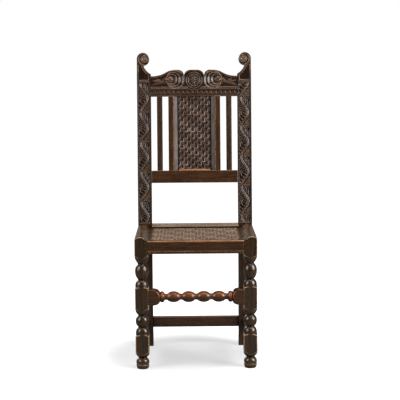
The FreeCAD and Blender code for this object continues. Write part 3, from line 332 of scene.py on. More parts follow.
def post_rows(side):
    """Rows of the post from its foot to the top of the ear, and how deep each point counts as
    sunk: its depth, lowered on the scroll's ribbon and the vine's strands so that they are drawn
    lighter, partly as painted highlight.
    Each row is a board section whose inner edge follows the hollow and the scroll. The leg
    runs back towards its foot, and the stile leans and thins towards its top."""
    low = np.array([0, 1.5, 3, *np.arange(25, 480, 25.0), 488, 496])
    carved = np.arange(BEND_Z, BEND_Z + HOLLOW_FOOT - 0.5, 1.0)
    hollow = np.arange(BEND_Z + HOLLOW_FOOT, BEND_Z + NECK_Z - 0.2, 1.0)
    disc = EAR_Z + BEND_Z - EAR_RADIUS * np.cos(np.linspace(0.03, math.pi - 0.06, 46))
    height = np.concatenate([low, carved, hollow, disc])
    up = height - BEND_Z
    inner = np.full_like(up, POST_INNER)
    foot, neck = np.array([POST_INNER, HOLLOW_FOOT]), np.array([NECK_X, NECK_Z])
    chord = neck - foot
    half = np.linalg.norm(chord) / 2
    square = np.array([-chord[1], chord[0]]) / (2 * half)
    centre = (foot + neck) / 2 + square * math.sqrt(HOLLOW_RADIUS ** 2 - half ** 2)
    arc = centre[0] + np.sqrt(np.maximum(HOLLOW_RADIUS ** 2 - (up - centre[1]) ** 2, 0))
    inner = np.where((up > HOLLOW_FOOT) & (up < NECK_Z), arc, inner)
    reach = np.sqrt(np.maximum(EAR_RADIUS ** 2 - (up - EAR_Z) ** 2, 0))
    inner = np.where(up >= NECK_Z, EAR_X - reach, inner)
    outer = np.where(up > EAR_Z, EAR_X + reach, POST_OUTER)
    run_back = np.maximum(1 - height / LEG_TAPER_Z, 0)
    front = SEAT_BACK_Y + FOOT_FRONT * run_back
    back = POST_REAR_Y + FOOT_REAR * run_back
    thinned = POST_DEPTH - POST_THINNING * np.clip(up, 0, 680) / POST_LENGTH
    depth = np.where(up > 0, thinned, back - front)
    arris = np.minimum(np.where(up > 0, 0.7, 1.5), (outer - inner) * 0.3)
    place, into = board(inner + INSET, outer - INSET, depth - 2 * INSET, arris, POST_FACE)
    into = into + INSET
    face = place[:, :POST_FACE]
    view_x = side * (face - POST_MIDDLE)
    beside, rise = np.abs(view_x), up[:, None]
    field = smooth(FIELD_HALF, FIELD_HALF - 1.4, beside) * smooth(2, 4, rise)
    field = field * smooth(FIELD_TOP, FIELD_TOP - 2, rise)
    relief = field * vine(view_x, rise, VINE_START[side])
    raised_rubbed_and_highlit = field * smooth(-1.0, -0.2, relief)
    relief = relief - 1.6 * np.exp(-((rise - CROSS_LINE) / 1.2) ** 2) * (beside < 23)
    off = np.hypot(face - centre[0], rise - centre[1]) - HOLLOW_RADIUS
    strip = np.where(rise > HOLLOW_FOOT, off, np.minimum(off, face - POST_INNER))
    ear_field = smooth(EAR_MARGIN, EAR_MARGIN + 1.8, strip) * smooth(21.6, 20.0, view_x * side)
    ear_field = ear_field * smooth(EAR_FIELD_FOOT, EAR_FIELD_FOOT + 2, rise)
    ear_field = ear_field * smooth(NECK_Z + 2, NECK_Z - 4, rise)
    relief = relief - EAR_FIELD_DEEP * ear_field
    relief = relief + np.where(rise > NECK_Z, ear_relief(face, rise), 0)
    sunk = np.zeros_like(into)
    cut = -np.minimum(relief, 0)
    sunk[:, :POST_FACE] = cut
    into += sunk
    # Painted highlight: the ribbon of the scroll is drawn lighter. The raised strands of the vine
    # are drawn lighter too, part rubbed wear and part painted highlight.
    ribbon = (rise > HOLLOW_FOOT) * (ear_field < 0.5)
    sunk[:, :POST_FACE] = np.where(ribbon, cut * 0.8 - 1.2, cut - 1.5 * raised_rubbed_and_highlit)
    bend = smooth(-16, 16, up)[:, None] * RAKE
    y0 = np.where(up < 0, front, SEAT_BACK_Y + up * math.sin(RAKE))[:, None]
    z0 = np.where(up < 0, height, BEND_Z + up * math.cos(RAKE))[:, None]
    bend = np.where(rise < -16, 0, bend)
    rows = np.stack([side * place, y0 + into * np.cos(bend), z0 - into * np.sin(bend)], -1)
    rows[0, :, 2] = 0
    return rows, sunk


# Cut with gouges and waxed for centuries: the hollows are dull and nearly black, and the
# ridges between them catch the light.
carved_oak = waxed_oak("carved oak under dark wax", "#1e120a", "#302014", "#412d1f",
                       "#82654f", "#090402", roughness=0.22, gloss=0.36)
for side, label in ((-1, "left"), (1, "right")):
    rows, sunk = post_rows(side)
    border = np.abs(np.abs(rows[:, :POST_FACE, 0]) - POST_MIDDLE)
    height = rows[:, :POST_FACE, 2]
    straight = (height > BEND_Z) * (height < SHADED_BORDER_TOP_Z)
    # Painted shade: the margins of the face beside both arrises are drawn darker on the straight
    # stile, and the arrises off the face and the ear are drawn dark.
    sunk[:, :POST_FACE] += straight * (0.7 * smooth(19.5, 21.5, border) + smooth(24.5, 26, border))
    edge = np.full(rows.shape[:2], 1.4)  # dark arrises, but not on the face or the ear
    edge[:, 7:POST_FACE - 7] = 0
    edge[height[:, 0] > SHADED_EDGE_TOP_Z] = 0
    make("post_" + label, rows, carved_oak, ["back_post_" + label], "z", rub=0.75,
         sunk=sunk, calm=edge)

# Crest rail: one board of oak sawn to three lobes, carved with a central roundel between
# nested crescents, and tenoned between the stiles.
CREST_LOW, CREST_SIDE, CREST_PEAK, CREST_NOTCH, CREST_THICK = 506.4, 587.2, 611.9, 589.2, 28.0
MIDDLE_X, NOTCH_X, LOBE_IN, LOBE_OUT, TURN_X, TURN_Z, SIDE_X = 14, 40, 62.5, 74, 113, 601.3, 165
LOBE_CIRCLES = [(74.2, 573.0, 34.7), (81.5, 573.0, 28.2), (89.0, 573.5, 21.2), (95.5, 574, 14.2)]
LOBE_X, LOBE_Z, LOBE_RADIUS, DEEPEST_CUT = 76, 573, 39, 5.5
BALL_RADIUS, BALL_RISE, ROUNDEL_Z, BAND_LINE, DOT_Z, DOT_PITCH = 11.5, 3.9, 570, 539.5, 524, 18.6
END_RING_X, END_RING_Z, END_RING_RADIUS = 114.0, 568, 10.0
CREST_FACE = 100  # columns of points across the carved face


def crest_top(x):
    """Top edge of the crest: level arcs of the three lobes, and an ogee down to the stiles."""
    x = np.abs(x)
    return np.select(
        [x < MIDDLE_X, x < NOTCH_X, x < LOBE_IN, x < LOBE_OUT, x < TURN_X, x < SIDE_X],
        [CREST_PEAK + 0 * x, sweep(x, MIDDLE_X, CREST_PEAK, NOTCH_X, CREST_NOTCH),
         sweep(x, LOBE_IN, CREST_PEAK, NOTCH_X, CREST_NOTCH), CREST_PEAK + 0 * x,
         sweep(x, LOBE_OUT, CREST_PEAK, TURN_X, TURN_Z),
         sweep(x, SIDE_X, CREST_SIDE, TURN_X, TURN_Z)],
        CREST_SIDE + 0 * x)


def crest_relief(x, z):
    """Relief of the crest: scooped crescents between circles that touch on the outer side,
    a ball in the innermost, three rings and a rosette in the middle, leaves on a punched
    ground at the ends, and a row of punched dots along the band below them."""
    relief = 0 * x
    side = np.abs(x)
    reach = [r - np.hypot(side - cx, z - cz) for cx, cz, r in LOBE_CIRCLES]
    for inside, outside in zip(reach, reach[1:]):
        width = np.maximum(inside - outside, 0.1)
        t = np.clip(inside / width, 0, 1)
        scoop = (inside > 0) & (outside < 0)
        relief = relief - scoop * np.minimum(width * 0.42, 5.2) * np.interp(
            t, [0, 0.08, 0.72, 0.82, 1], [0, 0.06, 0.97, 1, 0])
    from_ball = np.hypot(side - LOBE_CIRCLES[-1][0], z - LOBE_CIRCLES[-1][1]) / BALL_RADIUS
    ball = (np.sqrt(np.clip(1 - from_ball ** 2, 0, 1)) - 1) * BALL_RISE
    relief = np.where(reach[-1] > 0, ball, relief)
    ends = np.hypot(side - END_RING_X, z - END_RING_Z) - END_RING_RADIUS
    relief = relief - 2.6 * np.exp(-(ends / 1.8) ** 2) * (reach[0] < 0)
    away = np.hypot(x, z - ROUNDEL_Z)
    for ring, width, deep in ((36.0, 2.2, 3.4), (27.5, 2.0, 3.0), (19.5, 1.8, 2.6)):
        relief = relief - deep * np.exp(-((away - ring) / width) ** 2)
    angle = np.arctan2(z - ROUNDEL_Z, x)
    petals = np.abs(np.cos(4 * angle)) ** 0.5
    relief = relief - (away < 17) * (away > 4) * 2.4 * (1 - petals * np.sqrt(
        np.clip(1 - ((away - 10) / 7.5) ** 2, 0, 1)))
    relief = relief - 1.8 * np.exp(-((z - BAND_LINE) / 1.2) ** 2) * (side < 170)
    dots = (x / DOT_PITCH - np.round(x / DOT_PITCH)) * DOT_PITCH
    relief = relief - 3.0 * np.exp(-(np.hypot(dots, z - DOT_Z) / 5.2) ** 2)
    inner = np.maximum(0, np.minimum(z - 543, crest_top(x) - 6 - z))
    field = smooth(0, 3, inner) * smooth(-1, -4, reach[0]) * smooth(36, 39, away)
    field = field * smooth(1, 3, ends)
    blades = 0 * x
    for foot, turn, length, width in ((122, -12, 34, 5.0), (122, 10, 44, 5.5),
                                      (128, 34, 26, 4.5), (140, -24, 30, 4.5)):
        blades = np.maximum(blades, leaf(side, z, foot, 562, turn, length, width))
    relief = relief - field * (2.4 - 2.2 * blades + 0.4 * punched(x, z))
    rim = crest_top(x) - z
    relief = relief - 1.6 * np.exp(-((rim - 5.0) / 1.3) ** 2) * (z > 545)
    return np.maximum(relief, -DEEPEST_CUT)


across = np.arange(-POST_INNER - 0.5, POST_INNER + 0.6, 1.0)
place, into = board(np.full_like(across, CREST_LOW + INSET), crest_top(across) - INSET,
                    CREST_THICK - 2 * INSET, 1.5, CREST_FACE)
into = into + INSET
sunk = np.zeros_like(into)
sunk[:, :CREST_FACE] = -crest_relief(across[:, None], place[:, :CREST_FACE])
into += sunk
# Painted highlight: the lobes are drawn cleaner and lighter than the rest of the carving, so that
# their scooped crescents read bright.
from_lobe = np.hypot(np.abs(across[:, None]) - LOBE_X, place - LOBE_Z)
lobe_highlight = smooth(LOBE_RADIUS, LOBE_RADIUS - 3, from_lobe)
lobe_highlight[:, CREST_FACE:] = 0
make("crest", lean(across[:, None], into, place), carved_oak, ["crest_rail"], "x",
     rub=0.6, sunk=sunk * (1 - 0.55 * lobe_highlight) - 0.7 * lobe_highlight, calm=-1.6 * lobe_highlight)

# Lower back rail: a plain rail of planed oak under the uprights of the back, tenoned and
# pegged into the stiles.
# Planed and waxed oak gives the eye a satin dark brown with faint streaks, brighter along
# the arrises that hands have rubbed.
framed_oak = waxed_oak("planed oak under dark wax", "#1e1209", "#321e10", "#432a15",
                       "#8f6039", "#0d0603", roughness=0.25, gloss=0.42)


def section(corners, radius=2.0, rest=4.0):
    """Closed outline with every corner rounded: a quadratic curve between two points a radius
    from it, with one more point on each side, a rest further on, to keep the faces flat. That
    makes seven points of each corner."""
    corners = np.array(corners, float)
    before, after = np.roll(corners, 1, 0) - corners, np.roll(corners, -1, 0) - corners
    long_before = np.linalg.norm(before, axis=1, keepdims=True)
    long_after = np.linalg.norm(after, axis=1, keepdims=True)
    radius = np.broadcast_to(np.asarray(radius, float), len(corners))[:, None]
    cut = np.minimum(radius, np.minimum(long_before, long_after) * 0.3)
    off = np.minimum(cut + rest, np.minimum(long_before, long_after) * 0.46)
    before, after = before / long_before, after / long_after
    t = np.array([0, 0.25, 0.5, 0.75, 1])[None, :, None]
    start, end = corners + before * cut, corners + after * cut
    curve = ((1 - t) ** 2 * start[:, None] + 2 * t * (1 - t) * corners[:, None]
             + t ** 2 * end[:, None])
    points = np.concatenate([(corners + before * off)[:, None], curve,
                             (corners + after * off)[:, None]], 1)
    return points.reshape(-1, 2)


def member(name, outline, start, end, along, nodes, finish=None, raked=False, rub=0.8, calm=0.0,
           sunk=0.0):
    """Carries a section from start to end: along x the section is (into, up), along y it is
    (x, up), and along z it is (x, into)."""
    steps = np.array([0, 0.01, *np.linspace(0.06, 0.94, 12), 0.99, 1])
    run = (start + (end - start) * steps)[:, None]
    u, v = outline[None, :, 0], outline[None, :, 1]
    u, v, run = np.broadcast_arrays(u, v, run)
    x, y, z = {"x": (run, u, v), "y": (u, run, v), "z": (u, v, run)}[along]
    rows = lean(x, y, z) if raked else np.stack([x, y, z], -1)
    return make(name, rows, finish or framed_oak, nodes, along, rub=rub, calm=calm,
                sunk=sunk)


member("lower_rail", section([(0.2, 161.5), (24, 161.5), (24, 211), (0.2, 211)], 2.0),
       -172.9, 172.9, "x", ["lower_back_rail"], raked=True)

# Back uprights: two thin slats whose chamfers are drawn dark as painted shade, and two wider
# muntins whose moulding slopes down to the woven panel that they hold, all of planed oak, tenoned
# into the rails above and below. A small moulded sill lies between the muntins, at the foot of the
# panel, drawn light as a painted highlight.
UPRIGHT_FOOT, UPRIGHT_TOP = 210.5, 507.5
SLAT = [(126.95, 6), (131.7, 3.1), (144.0, 3.1), (148.75, 6), (148.75, 15), (126.95, 15)]
MUNTIN = [(103.2, 0.2), (85.2, 0.2), (82.4, 0.2), (81.6, 1.6), (80.8, 2.2), (79.6, 2.5),
          (77.6, 3.5), (75.6, 4.5), (73.6, 5.5), (71.6, 6.5), (69.6, 7.5), (67.6, 8.6),
          (66.8, 10.2), (62.6, 10.3), (62.6, 21.8), (103.2, 21.8)]
SILL = [(0.2, 211.2), (10.8, 211.2), (10.8, 217.3), (5.5, 216.6), (1.5, 214.6), (0.2, 212.9)]


def shade(corners, *parts):
    """A value for each point of a section, zero but for its parts. A part is its first point,
    the one after its last, and its value. There are seven points to a corner."""
    values = np.zeros(7 * len(corners))
    for first, after, value in parts:
        values[first:after] = value
    return values


# Slats: painted shade over the chamfers and sides, the front face lightly rubbed.
shaded_chamfers = shade(SLAT, (0, 42, 5.0), (10, 18, -0.8))
# Muntins: painted shade on the outer arrises and in the deep step beside the panel; the inner
# arris is rubbed light and the moulded slope is drawn darker.
shaded_outer_arrises = shade(MUNTIN, (0, 7, 1.6), (105, 112, 1.6))
rubbed_arris_dark_slope_shaded_gap = shade(MUNTIN, (10, 19, -1.8), (35, 81, 1.7), (81, 98, 3.2))
for side, label in ((-1, "left"), (1, "right")):
    member("slat_" + label, section([(side * x, y) for x, y in SLAT], 0.8, 1.5), UPRIGHT_FOOT,
           UPRIGHT_TOP, "z", ["back_slat_" + label], raked=True, rub=0.0, sunk=shaded_chamfers)
    member("muntin_" + label, section([(side * x, y) for x, y in MUNTIN], 0.5, 0.5),
           UPRIGHT_FOOT, UPRIGHT_TOP, "z", ["back_muntin_" + label], raked=True, rub=0.2,
           calm=shaded_outer_arrises, sunk=rubbed_arris_dark_slope_shaded_gap)
# Painted highlight: the sill is drawn light all over.
member("sill", section(SILL, 0.8, 0.8), -62.4, 62.4, "x", ["panel_sill"], raked=True, sunk=-2.4)

# Low stretchers: plain bars of planed oak near the floor, one at the back and one at each
# side, tenoned and pegged into the legs.
REAR_BAR = [(138.55, 77), (160.55, 77), (160.55, 118.5), (138.55, 118.5)]
SIDE_BAR = [(191, 71.5), (213, 71.5), (213, 113), (191, 113)]
member("rear_bar", section(REAR_BAR, 3.0), -173, 173, "x", ["rear_stretcher"])
for side, label in ((-1, "left"), (1, "right")):
    member("side_bar_" + label, section([(side * x, z) for x, z in SIDE_BAR], 3.0), -177, 133,
           "y", ["side_stretcher_" + label])

# Seat rails: four rails of planed oak, tenoned and pegged into the legs and the posts, with a step
# inside that the woven seat lies on. The front one has a scratch bead and an upper arris drawn
# light, part rubbed wear and part painted highlight, and the other three have a raised and moulded
# top.
SEAT_TOP = 485.8
FRONT_RAIL = [(-227.2, 436.7), (-227.2, 446.0), (-226.2, 447.3), (-227.2, 448.6),
              (-227.2, SEAT_TOP), (-202.45, SEAT_TOP), (-202.45, 482), (-194.45, 482),
              (-194.45, 436.7)]
BACK_RAIL = [(144.5, 436.7), (144.5, 500.1), (122.55, 500.1), (117.6, 498.5), (116.8, 496.9),
             (115.2, 497.7), (101.05, 493.2), (101.05, SEAT_TOP), (88.55, SEAT_TOP),
             (88.55, 482), (80.55, 482), (80.55, 468), (101.05, 468), (101.05, 436.7)]
# Front rail: its upper arris is drawn light, part rubbed wear and part painted highlight.
member("front_rail", section(FRONT_RAIL, [2, 0.6, 0.6, 0.6, 3, 1, 1, 1, 1]), -177, 177, "x",
       ["seat_rail_front"], sunk=shade(FRONT_RAIL, (29, 34, -3.0)))
# The back rail of the seat is drawn in a paler, greyer brown than the other rails: a painted sheen
# on its moulded top.
sheen_painted_oak = waxed_oak("oak drawn light as a painted sheen", "#3d2c21", "#624f40", "#806d5d", "#a08264",
                      "#0f0704", roughness=0.25)
# Painted shade: the quirk and the face that drops from the moulded top to the seat are drawn dark.
member("back_rail",
       section(BACK_RAIL, [1, 1.5, 1, 0.5, 0.4, 0.5, 2, 0.6, 0.6, 0.6, 0.6, 1, 1, 2]),
       -172.4, 172.4, "x", ["seat_rail_back"], finish=sheen_painted_oak,
       sunk=shade(BACK_RAIL, (24, 34, 2.5), (45, 60, 3.5)))


def rail_top(x):
    """Moulded top of the side rails and leg tops: a crown and an ogee down to the seat."""
    x = np.abs(x)
    return np.select(
        [x > 204, x > 190.25, x > 176.5],
        [sweep(x, 204, 500, 227.5, 492.5), sweep(x, 204, 500, 190.25, 493),
         sweep(x, 176.5, 486, 190.25, 493)], 486 + 0 * x)


for side, label in ((-1, "left"), (1, "right")):
    top_x = np.linspace(227.3, 176.5, 25)
    crown = [(float(x), float(z)) for x, z in zip(top_x, rail_top(top_x) - INSET)]
    rail = ([(197.5, 436.7), (227.3, 436.7)] + crown
            + [(164, SEAT_TOP), (164, 482), (156, 482), (156, 468), (197.5, 468)])
    radii = [1.5, 2, 2] + [0.5] * (len(crown) - 1) + [0.6, 0.6, 0.6, 1, 1]
    outline = section(rail, radii)
    run = np.array([-202.4, -201, -190, -177.3, -176.9, -174, *np.linspace(-150, 100, 11), 122.9])
    x, y, z = np.broadcast_arrays(outline[None, :, 0], run[:, None], outline[None, :, 1])
    beside_leg = y < -177  # here only the step for the seat runs on, past the leg
    x = np.where(beside_leg, np.minimum(x, 176.3), x)
    z = np.where(beside_leg, np.clip(z, 468, SEAT_TOP), z)
    make("side_rail_" + label, np.stack([side * x, y, z], -1), framed_oak,
         ["seat_rail_" + label], "y", rub=0.8, sunk=np.where((z > 487) & (x > 183), -0.8, 0))

# Front legs: square oak stock turned between centres, with square blocks left for the joints.
# A turning tool cuts the shoulders of the blocks, so their corners run out in curves.
# Turned and burnished oak is the smoothest of the chair: nearly black, with small bright
# lights on the swellings and pale rubbed corners.
turned_oak = waxed_oak("turned oak under dark wax", "#1b1007", "#2c1e0e", "#3c2813",
                       "#b08a60", "#0b0502", roughness=0.19, gloss=0.46)
LEG_X, LEG_Y, LEG_HALF = 202.0, -201.95, 25.25
NECK, UPPER_NECK, TURNING_TOP, UNTURNED = 15.0, 14.0, 438, 60.0


def bulge(neck_z, neck, crown_z, crown, count=14, bend=66):
    """Points (height, radius) of a swelling from a neck to its crown: an arc of bend degrees
    scaled to the two radii."""
    angle = np.radians(np.linspace(bend, 0, count))
    whole = math.radians(bend)
    height = crown_z + (neck_z - crown_z) * np.sin(angle) / math.sin(whole)
    radius = neck + (crown - neck) * (np.cos(angle) - math.cos(whole)) / (1 - math.cos(whole))
    return list(zip(height, radius))


def turning(*runs, step=1.5, edge=0.8):
    """Joins runs of (height, radius) into an outline with a point every step along it, whose
    sharp turns are worn round by a running mean about three edges wide."""
    points = np.array(sorted(point for run in runs for point in run))
    fine = np.arange(points[0, 0], points[-1, 0], 0.25)
    radius = np.interp(fine, points[:, 0], points[:, 1])
    window = np.hanning(int(edge * 12) + 3)
    worn = np.convolve(np.pad(radius, len(window) // 2, "edge"), window / window.sum(), "same")
    worn = worn[len(window) // 2:][:len(fine)]
    height = np.linspace(points[0, 0], points[-1, 0], int(np.ptp(points[:, 0]) / step) + 1)
    return height, np.interp(height, fine, worn)


def hip(neck_z, neck, block_z):
    """Lower end of a block: its corners run out in a cone down to the neck."""
    run = block_z - neck_z
    return [(neck_z, neck), (neck_z + run * 0.1, neck + 2.2), (neck_z + run * 0.35, neck + 5.8),
            (neck_z + run * 0.6, neck + 8.8), (neck_z + run * 0.82, neck + 10.8),
            (block_z + 1, 27.6), (block_z + 6, 32.6), (block_z + 10, 37), (block_z + 14, 41)]


def dome(block_z, neck_z, neck):
    """Upper end of a block: a half-round shoulder, then the corners cut off almost square."""
    return [(block_z - 12, 41), (block_z - 6, 37.5), (block_z - 1.6, 27.5),
            (block_z - 0.4, 25.3)] + bulge(neck_z, neck, block_z + 1.5, 25.2, bend=74)


def soft_least(a, b, blend):
    """The smaller of a and b, rounded over by a polynomial where they are within blend."""
    near = np.clip(0.5 + 0.5 * (b - a) / blend, 0, 1)
    return b + (a - b) * near - blend * near * (1 - near)


def cylinder_or_square(radius, theta, half_x, half_y, blend=1.6):
    """Turned radius held inside the square stock, whose corners are worn round: a superellipse
    of a high power."""
    power = 22.0
    square = ((np.abs(np.cos(theta)) / half_x) ** power
              + (np.abs(np.sin(theta)) / half_y) ** power) ** (-1 / power)
    return soft_least(radius, square, blend)


def leg_rows(side):
    """Rows of the leg: the turning from its foot up, then the square stock drawn up to the
    moulded top, and the top itself drawn in to its middle."""
    foot = [(0, 19.8), (1.5, 21.6), (8.2, 23.6), (9.0, 23.8), (15.0, 24.1), (16.2, 22.6),
            (17.4, 22.6), (18.6, 24.2)]
    height, radius = turning(
        foot, bulge(40.8, NECK, 24, 24.5, bend=60), [(42.6, NECK)], hip(42.6, NECK, 57),
        dome(132, 156.8, NECK), bulge(158.4, NECK, 180, 25.1, bend=52),
        bulge(201.6, NECK, 180, 25.1, bend=52), hip(203.2, NECK, 223),
        dome(312.5, 336.9, UPPER_NECK), bulge(338.4, UPPER_NECK, 369.5, 25.3, bend=52),
        bulge(396.6, UPPER_NECK, 369.5, 25.3, bend=52), hip(398.0, UPPER_NECK, 421),
        [(TURNING_TOP, 40)])
    theta = np.linspace(0, 2 * np.pi, 97)[:-1][None]
    wide = cylinder_or_square(radius[:, None], theta, LEG_HALF, LEG_HALF)
    x = side * LEG_X + wide * np.cos(theta)
    y = LEG_Y + wide * np.sin(theta)
    z = np.broadcast_to(height[:, None], x.shape)
    body = np.stack([x, y, z], -1)
    stock = cylinder_or_square(np.array([[UNTURNED]]), theta, LEG_HALF, LEG_HALF)
    share = np.array([0.12, 0.3, 0.5, 0.7, 0.85, 0.95, 0.985, 1.0])[:, None]
    slim = np.array([0, 0, 0, 0, 0, 0, 0.3, 1.2])[:, None]
    x = side * LEG_X + (stock - slim) * np.cos(theta)
    y = LEG_Y + (stock - slim) * np.sin(theta)
    z = TURNING_TOP + (rail_top(x) - INSET - TURNING_TOP) * share
    upper = np.stack([x, y, z], -1)
    inward = np.array([0.93, 0.8, 0.6, 0.4, 0.2, 0.06])[:, None]
    x = side * LEG_X + (stock - slim[-1]) * inward * np.cos(theta)
    y = LEG_Y + (stock - slim[-1]) * inward * np.sin(theta)
    cap = np.stack([x, y, rail_top(x) - INSET], -1)
    return np.concatenate([body, upper, cap])


for side, label in ((-1, "left"), (1, "right")):
    rows = leg_rows(side)
    joined = (rows[..., 2] > 433) * ((np.abs(rows[..., 0]) < 186) | (rows[..., 1] > -186))
    make("leg_" + label, rows, turned_oak, ["front_leg_" + label], "z",
         ends=("face", "fan"), rub=1.2, calm=joined * 1.0)

# Front stretcher: a turned bar of oak with four bobbins between square ends, tenoned and
# pegged into the front legs and flush with their fronts.
STRETCHER_Z, STRETCHER_Y, PITCH = 272.0, -204.45, 56.3
WAIST, BOBBIN = 11.6, 20.7
half = []
for start in (0, PITCH):
    half += [(start + 0.01, WAIST), (start + 4.2, WAIST)]
    half += bulge(start + 5.0, 12.0, start + PITCH / 2, BOBBIN, bend=64)
    half += bulge(start + PITCH - 5.0, 12.0, start + PITCH / 2, BOBBIN, bend=64)[::-1][1:]
    half += [(start + PITCH - 4.2, WAIST)]
half += [(112.7, WAIST), (116.5, WAIST)] + bulge(117.2, 12.2, 127.6, 21.3, bend=70)
half += [(130.5, 21.0), (132.6, 19.8), (133.4, 17.6), (135.0, 17.6), (135.8, 20.6)]
half += bulge(136.2, 21.4, 178.5, 38.5, bend=68)
run, radius = turning(half, [(-place, size) for place, size in half], step=1.2)
theta = np.linspace(0, 2 * np.pi, 81)[:-1][None]
wide = cylinder_or_square(radius[:, None], theta, half_x=22.75, half_y=29.4)
rows = np.stack([np.broadcast_to(run[:, None], wide.shape),
                 STRETCHER_Y + wide * np.cos(theta), STRETCHER_Z + wide * np.sin(theta)], -1)
# Feet have rubbed the crowns of the bobbins to an orange brown. The square ends and the underside
# keep their dark wax. The waists between the bobbins are drawn clean and a little lighter, a
# painted highlight.
worn_bar = waxed_oak("turned oak rubbed bare by feet", "#22150a", "#35210f", "#482d15",
                     "#8a4511", "#0b0502", roughness=0.2, gloss=0.4)
# Painted highlight: the waists are kept clean and drawn a little lighter.
neck = smooth(15, 12.6, radius)[:, None] * smooth(138, 130, np.abs(rows[..., 0]))
untouched = np.maximum(smooth(138, 146, np.abs(rows[..., 0])) * 0.75,
                       smooth(4, -4, rows[..., 2] - STRETCHER_Z) * 0.9)
make("stretcher_front", rows, worn_bar, ["front_stretcher"], "x", rub=3.0,
     calm=np.maximum(untouched, neck), sunk=-1.4 * neck)

# Woven panels: flat splints of split cane, over one and under one, let into the seat rails and
# into grooves of the back.
FACE_RELIEF, BACK_RELIEF = 2.9, 1.7


def woven_cane(name, stops):
    """Split cane gone grey-brown: fibres 4 mm apart, lighter in patches some 50 mm across where
    the wax has gone, and lighter or darker after the painted shade and highlights of the weave."""
    material = bpy.data.materials.new(name)
    material.use_nodes = True
    tree = material.node_tree
    shader = tree.nodes["Principled BSDF"]
    wear_and_painted_light = add(tree, "ShaderNodeAttribute", {"attribute_name": "wear_and_painted_light"}).outputs["Fac"]
    grain = add(tree, "ShaderNodeAttribute", {"attribute_name": "grain"}).outputs["Vector"]
    fibres = add(tree, "ShaderNodeTexNoise", {"Scale": 260.0, "Detail": 2.0},
                 {"Vector": grain}).outputs["Fac"]
    faded = add(tree, "ShaderNodeTexNoise", {"Scale": 20.0, "Detail": 3.0},
                {"Vector": grain}).outputs["Fac"]
    mixed = add(tree, "ShaderNodeMath", {"operation": "MULTIPLY", 1: 0.13},
                {0: faded}).outputs[0]
    for source, share in ((fibres, 0.2), (wear_and_painted_light, 0.6)):
        mixed = add(tree, "ShaderNodeMath", {"operation": "MULTIPLY_ADD", 1: share},
                    {0: source, 2: mixed}).outputs[0]
    colour = add(tree, "ShaderNodeValToRGB", links={"Fac": mixed}, stops=stops)
    tree.links.new(colour.outputs["Color"], shader.inputs["Base Color"])
    shader.inputs["Roughness"].default_value = 0.45
    shader.inputs["Specular IOR Level"].default_value = 0.14
    bump = add(tree, "ShaderNodeBump", {"Strength": 0.3, "Distance": 0.0004}, {"Height": fibres})
    tree.links.new(bump.outputs["Normal"], shader.inputs["Normal"])
    return material


def weave(u, v, pitch_u, pitch_v):
    """Plain weave, as its height and its colour value, both from 0 to 1: at every other crossing
    the upright splint lies sunk, darkest in its hollow as painted shade, and between them the
    level ones pass over it, rounded and lighter along their crowns as a painted highlight. The cut
    edges right of and below each sunk crossing are the lightest, a painted highlight."""
    u = u + 0.7 * np.sin(v / 17.3 + 1.3 * np.sin(u / 29.0))
    v = v + 0.8 * np.sin(u / 15.1 + 1.7 * np.sin(v / 31.0))
    i, j = np.floor(u / pitch_u), np.floor(v / pitch_v)
    fu, fv = u / pitch_u - i - 0.5, v / pitch_v - j - 0.5
    sunk = (i + j) % 2 == 0
    shaded_pit = smooth(0.34, 0.24, np.abs(fu + 0.08)) * smooth(0.42, 0.3, np.abs(fv - 0.06))
    edge = np.maximum(smooth(0.24, 0.32, fu) * smooth(0.5, 0.42, fu),
                      smooth(-0.32, -0.38, fv) * smooth(-0.5, -0.46, fv))
    over = 1 - 0.5 * (fu / 0.5) ** 2 - 0.35 * np.abs(fv / 0.5) ** 3
    height = np.where(sunk, 0.75 - 0.75 * shaded_pit + 0.1 * edge, over)
    own = 0.12 * np.sin(j * 7.3 + i // 3 * 2.1) + 0.08 * np.sin(i * 12.9 + j * 3.7)
    tone_with_painted_light = np.where(sunk, 0.42 - 0.42 * shaded_pit + 0.55 * edge, 0.25 + 0.3 * over)
    return np.clip(height, 0, 1), np.clip(tone_with_painted_light + own * (1 - shaded_pit * sunk), 0, 1.2)


def panel(name, low_u, high_u, low_v, high_v, base, top, step, pitch, finish, nodes, raked):
    """A closed slab, woven on its face and, where the strands change places, on its back: rows
    run along v, columns along u over the face and back again."""
    v = np.arange(low_v, high_v + step / 2, step)[:, None]
    face = np.linspace(low_u, high_u, int((high_u - low_u) / step))[None]
    height, tone_with_painted_light = weave(face - low_u, v - low_v, *pitch)
    behind, behind_tone = weave(face - low_u + pitch[0], v - low_v, *pitch)
    depth = np.hstack([(1 - height) * FACE_RELIEF,
                       abs(top - base) - (1 - behind[:, ::-1]) * BACK_RELIEF])
    place = np.hstack([face, face[:, ::-1]]) + 0 * v
    if raked:
        rows = lean(place, min(base, top) + depth, v)
    else:
        rows = np.stack(np.broadcast_arrays(place, v, top - depth), -1)
    return make(name, rows, finish, nodes, "z",
                wear_and_painted_light=np.hstack([tone_with_painted_light, behind_tone[:, ::-1]]))


cane = woven_cane("woven split cane", [(0.16, "#110905"), (0.39, "#281b14"), (0.56, "#413127"),
                                       (0.79, "#8a776a")])
panel("woven_back", low_u=-68.2, high_u=68.2, low_v=205.6, high_v=512.0, base=16, top=11,
      step=1.2, pitch=(13.8, 13.3), finish=cane, nodes=["woven_back_panel"], raked=True)
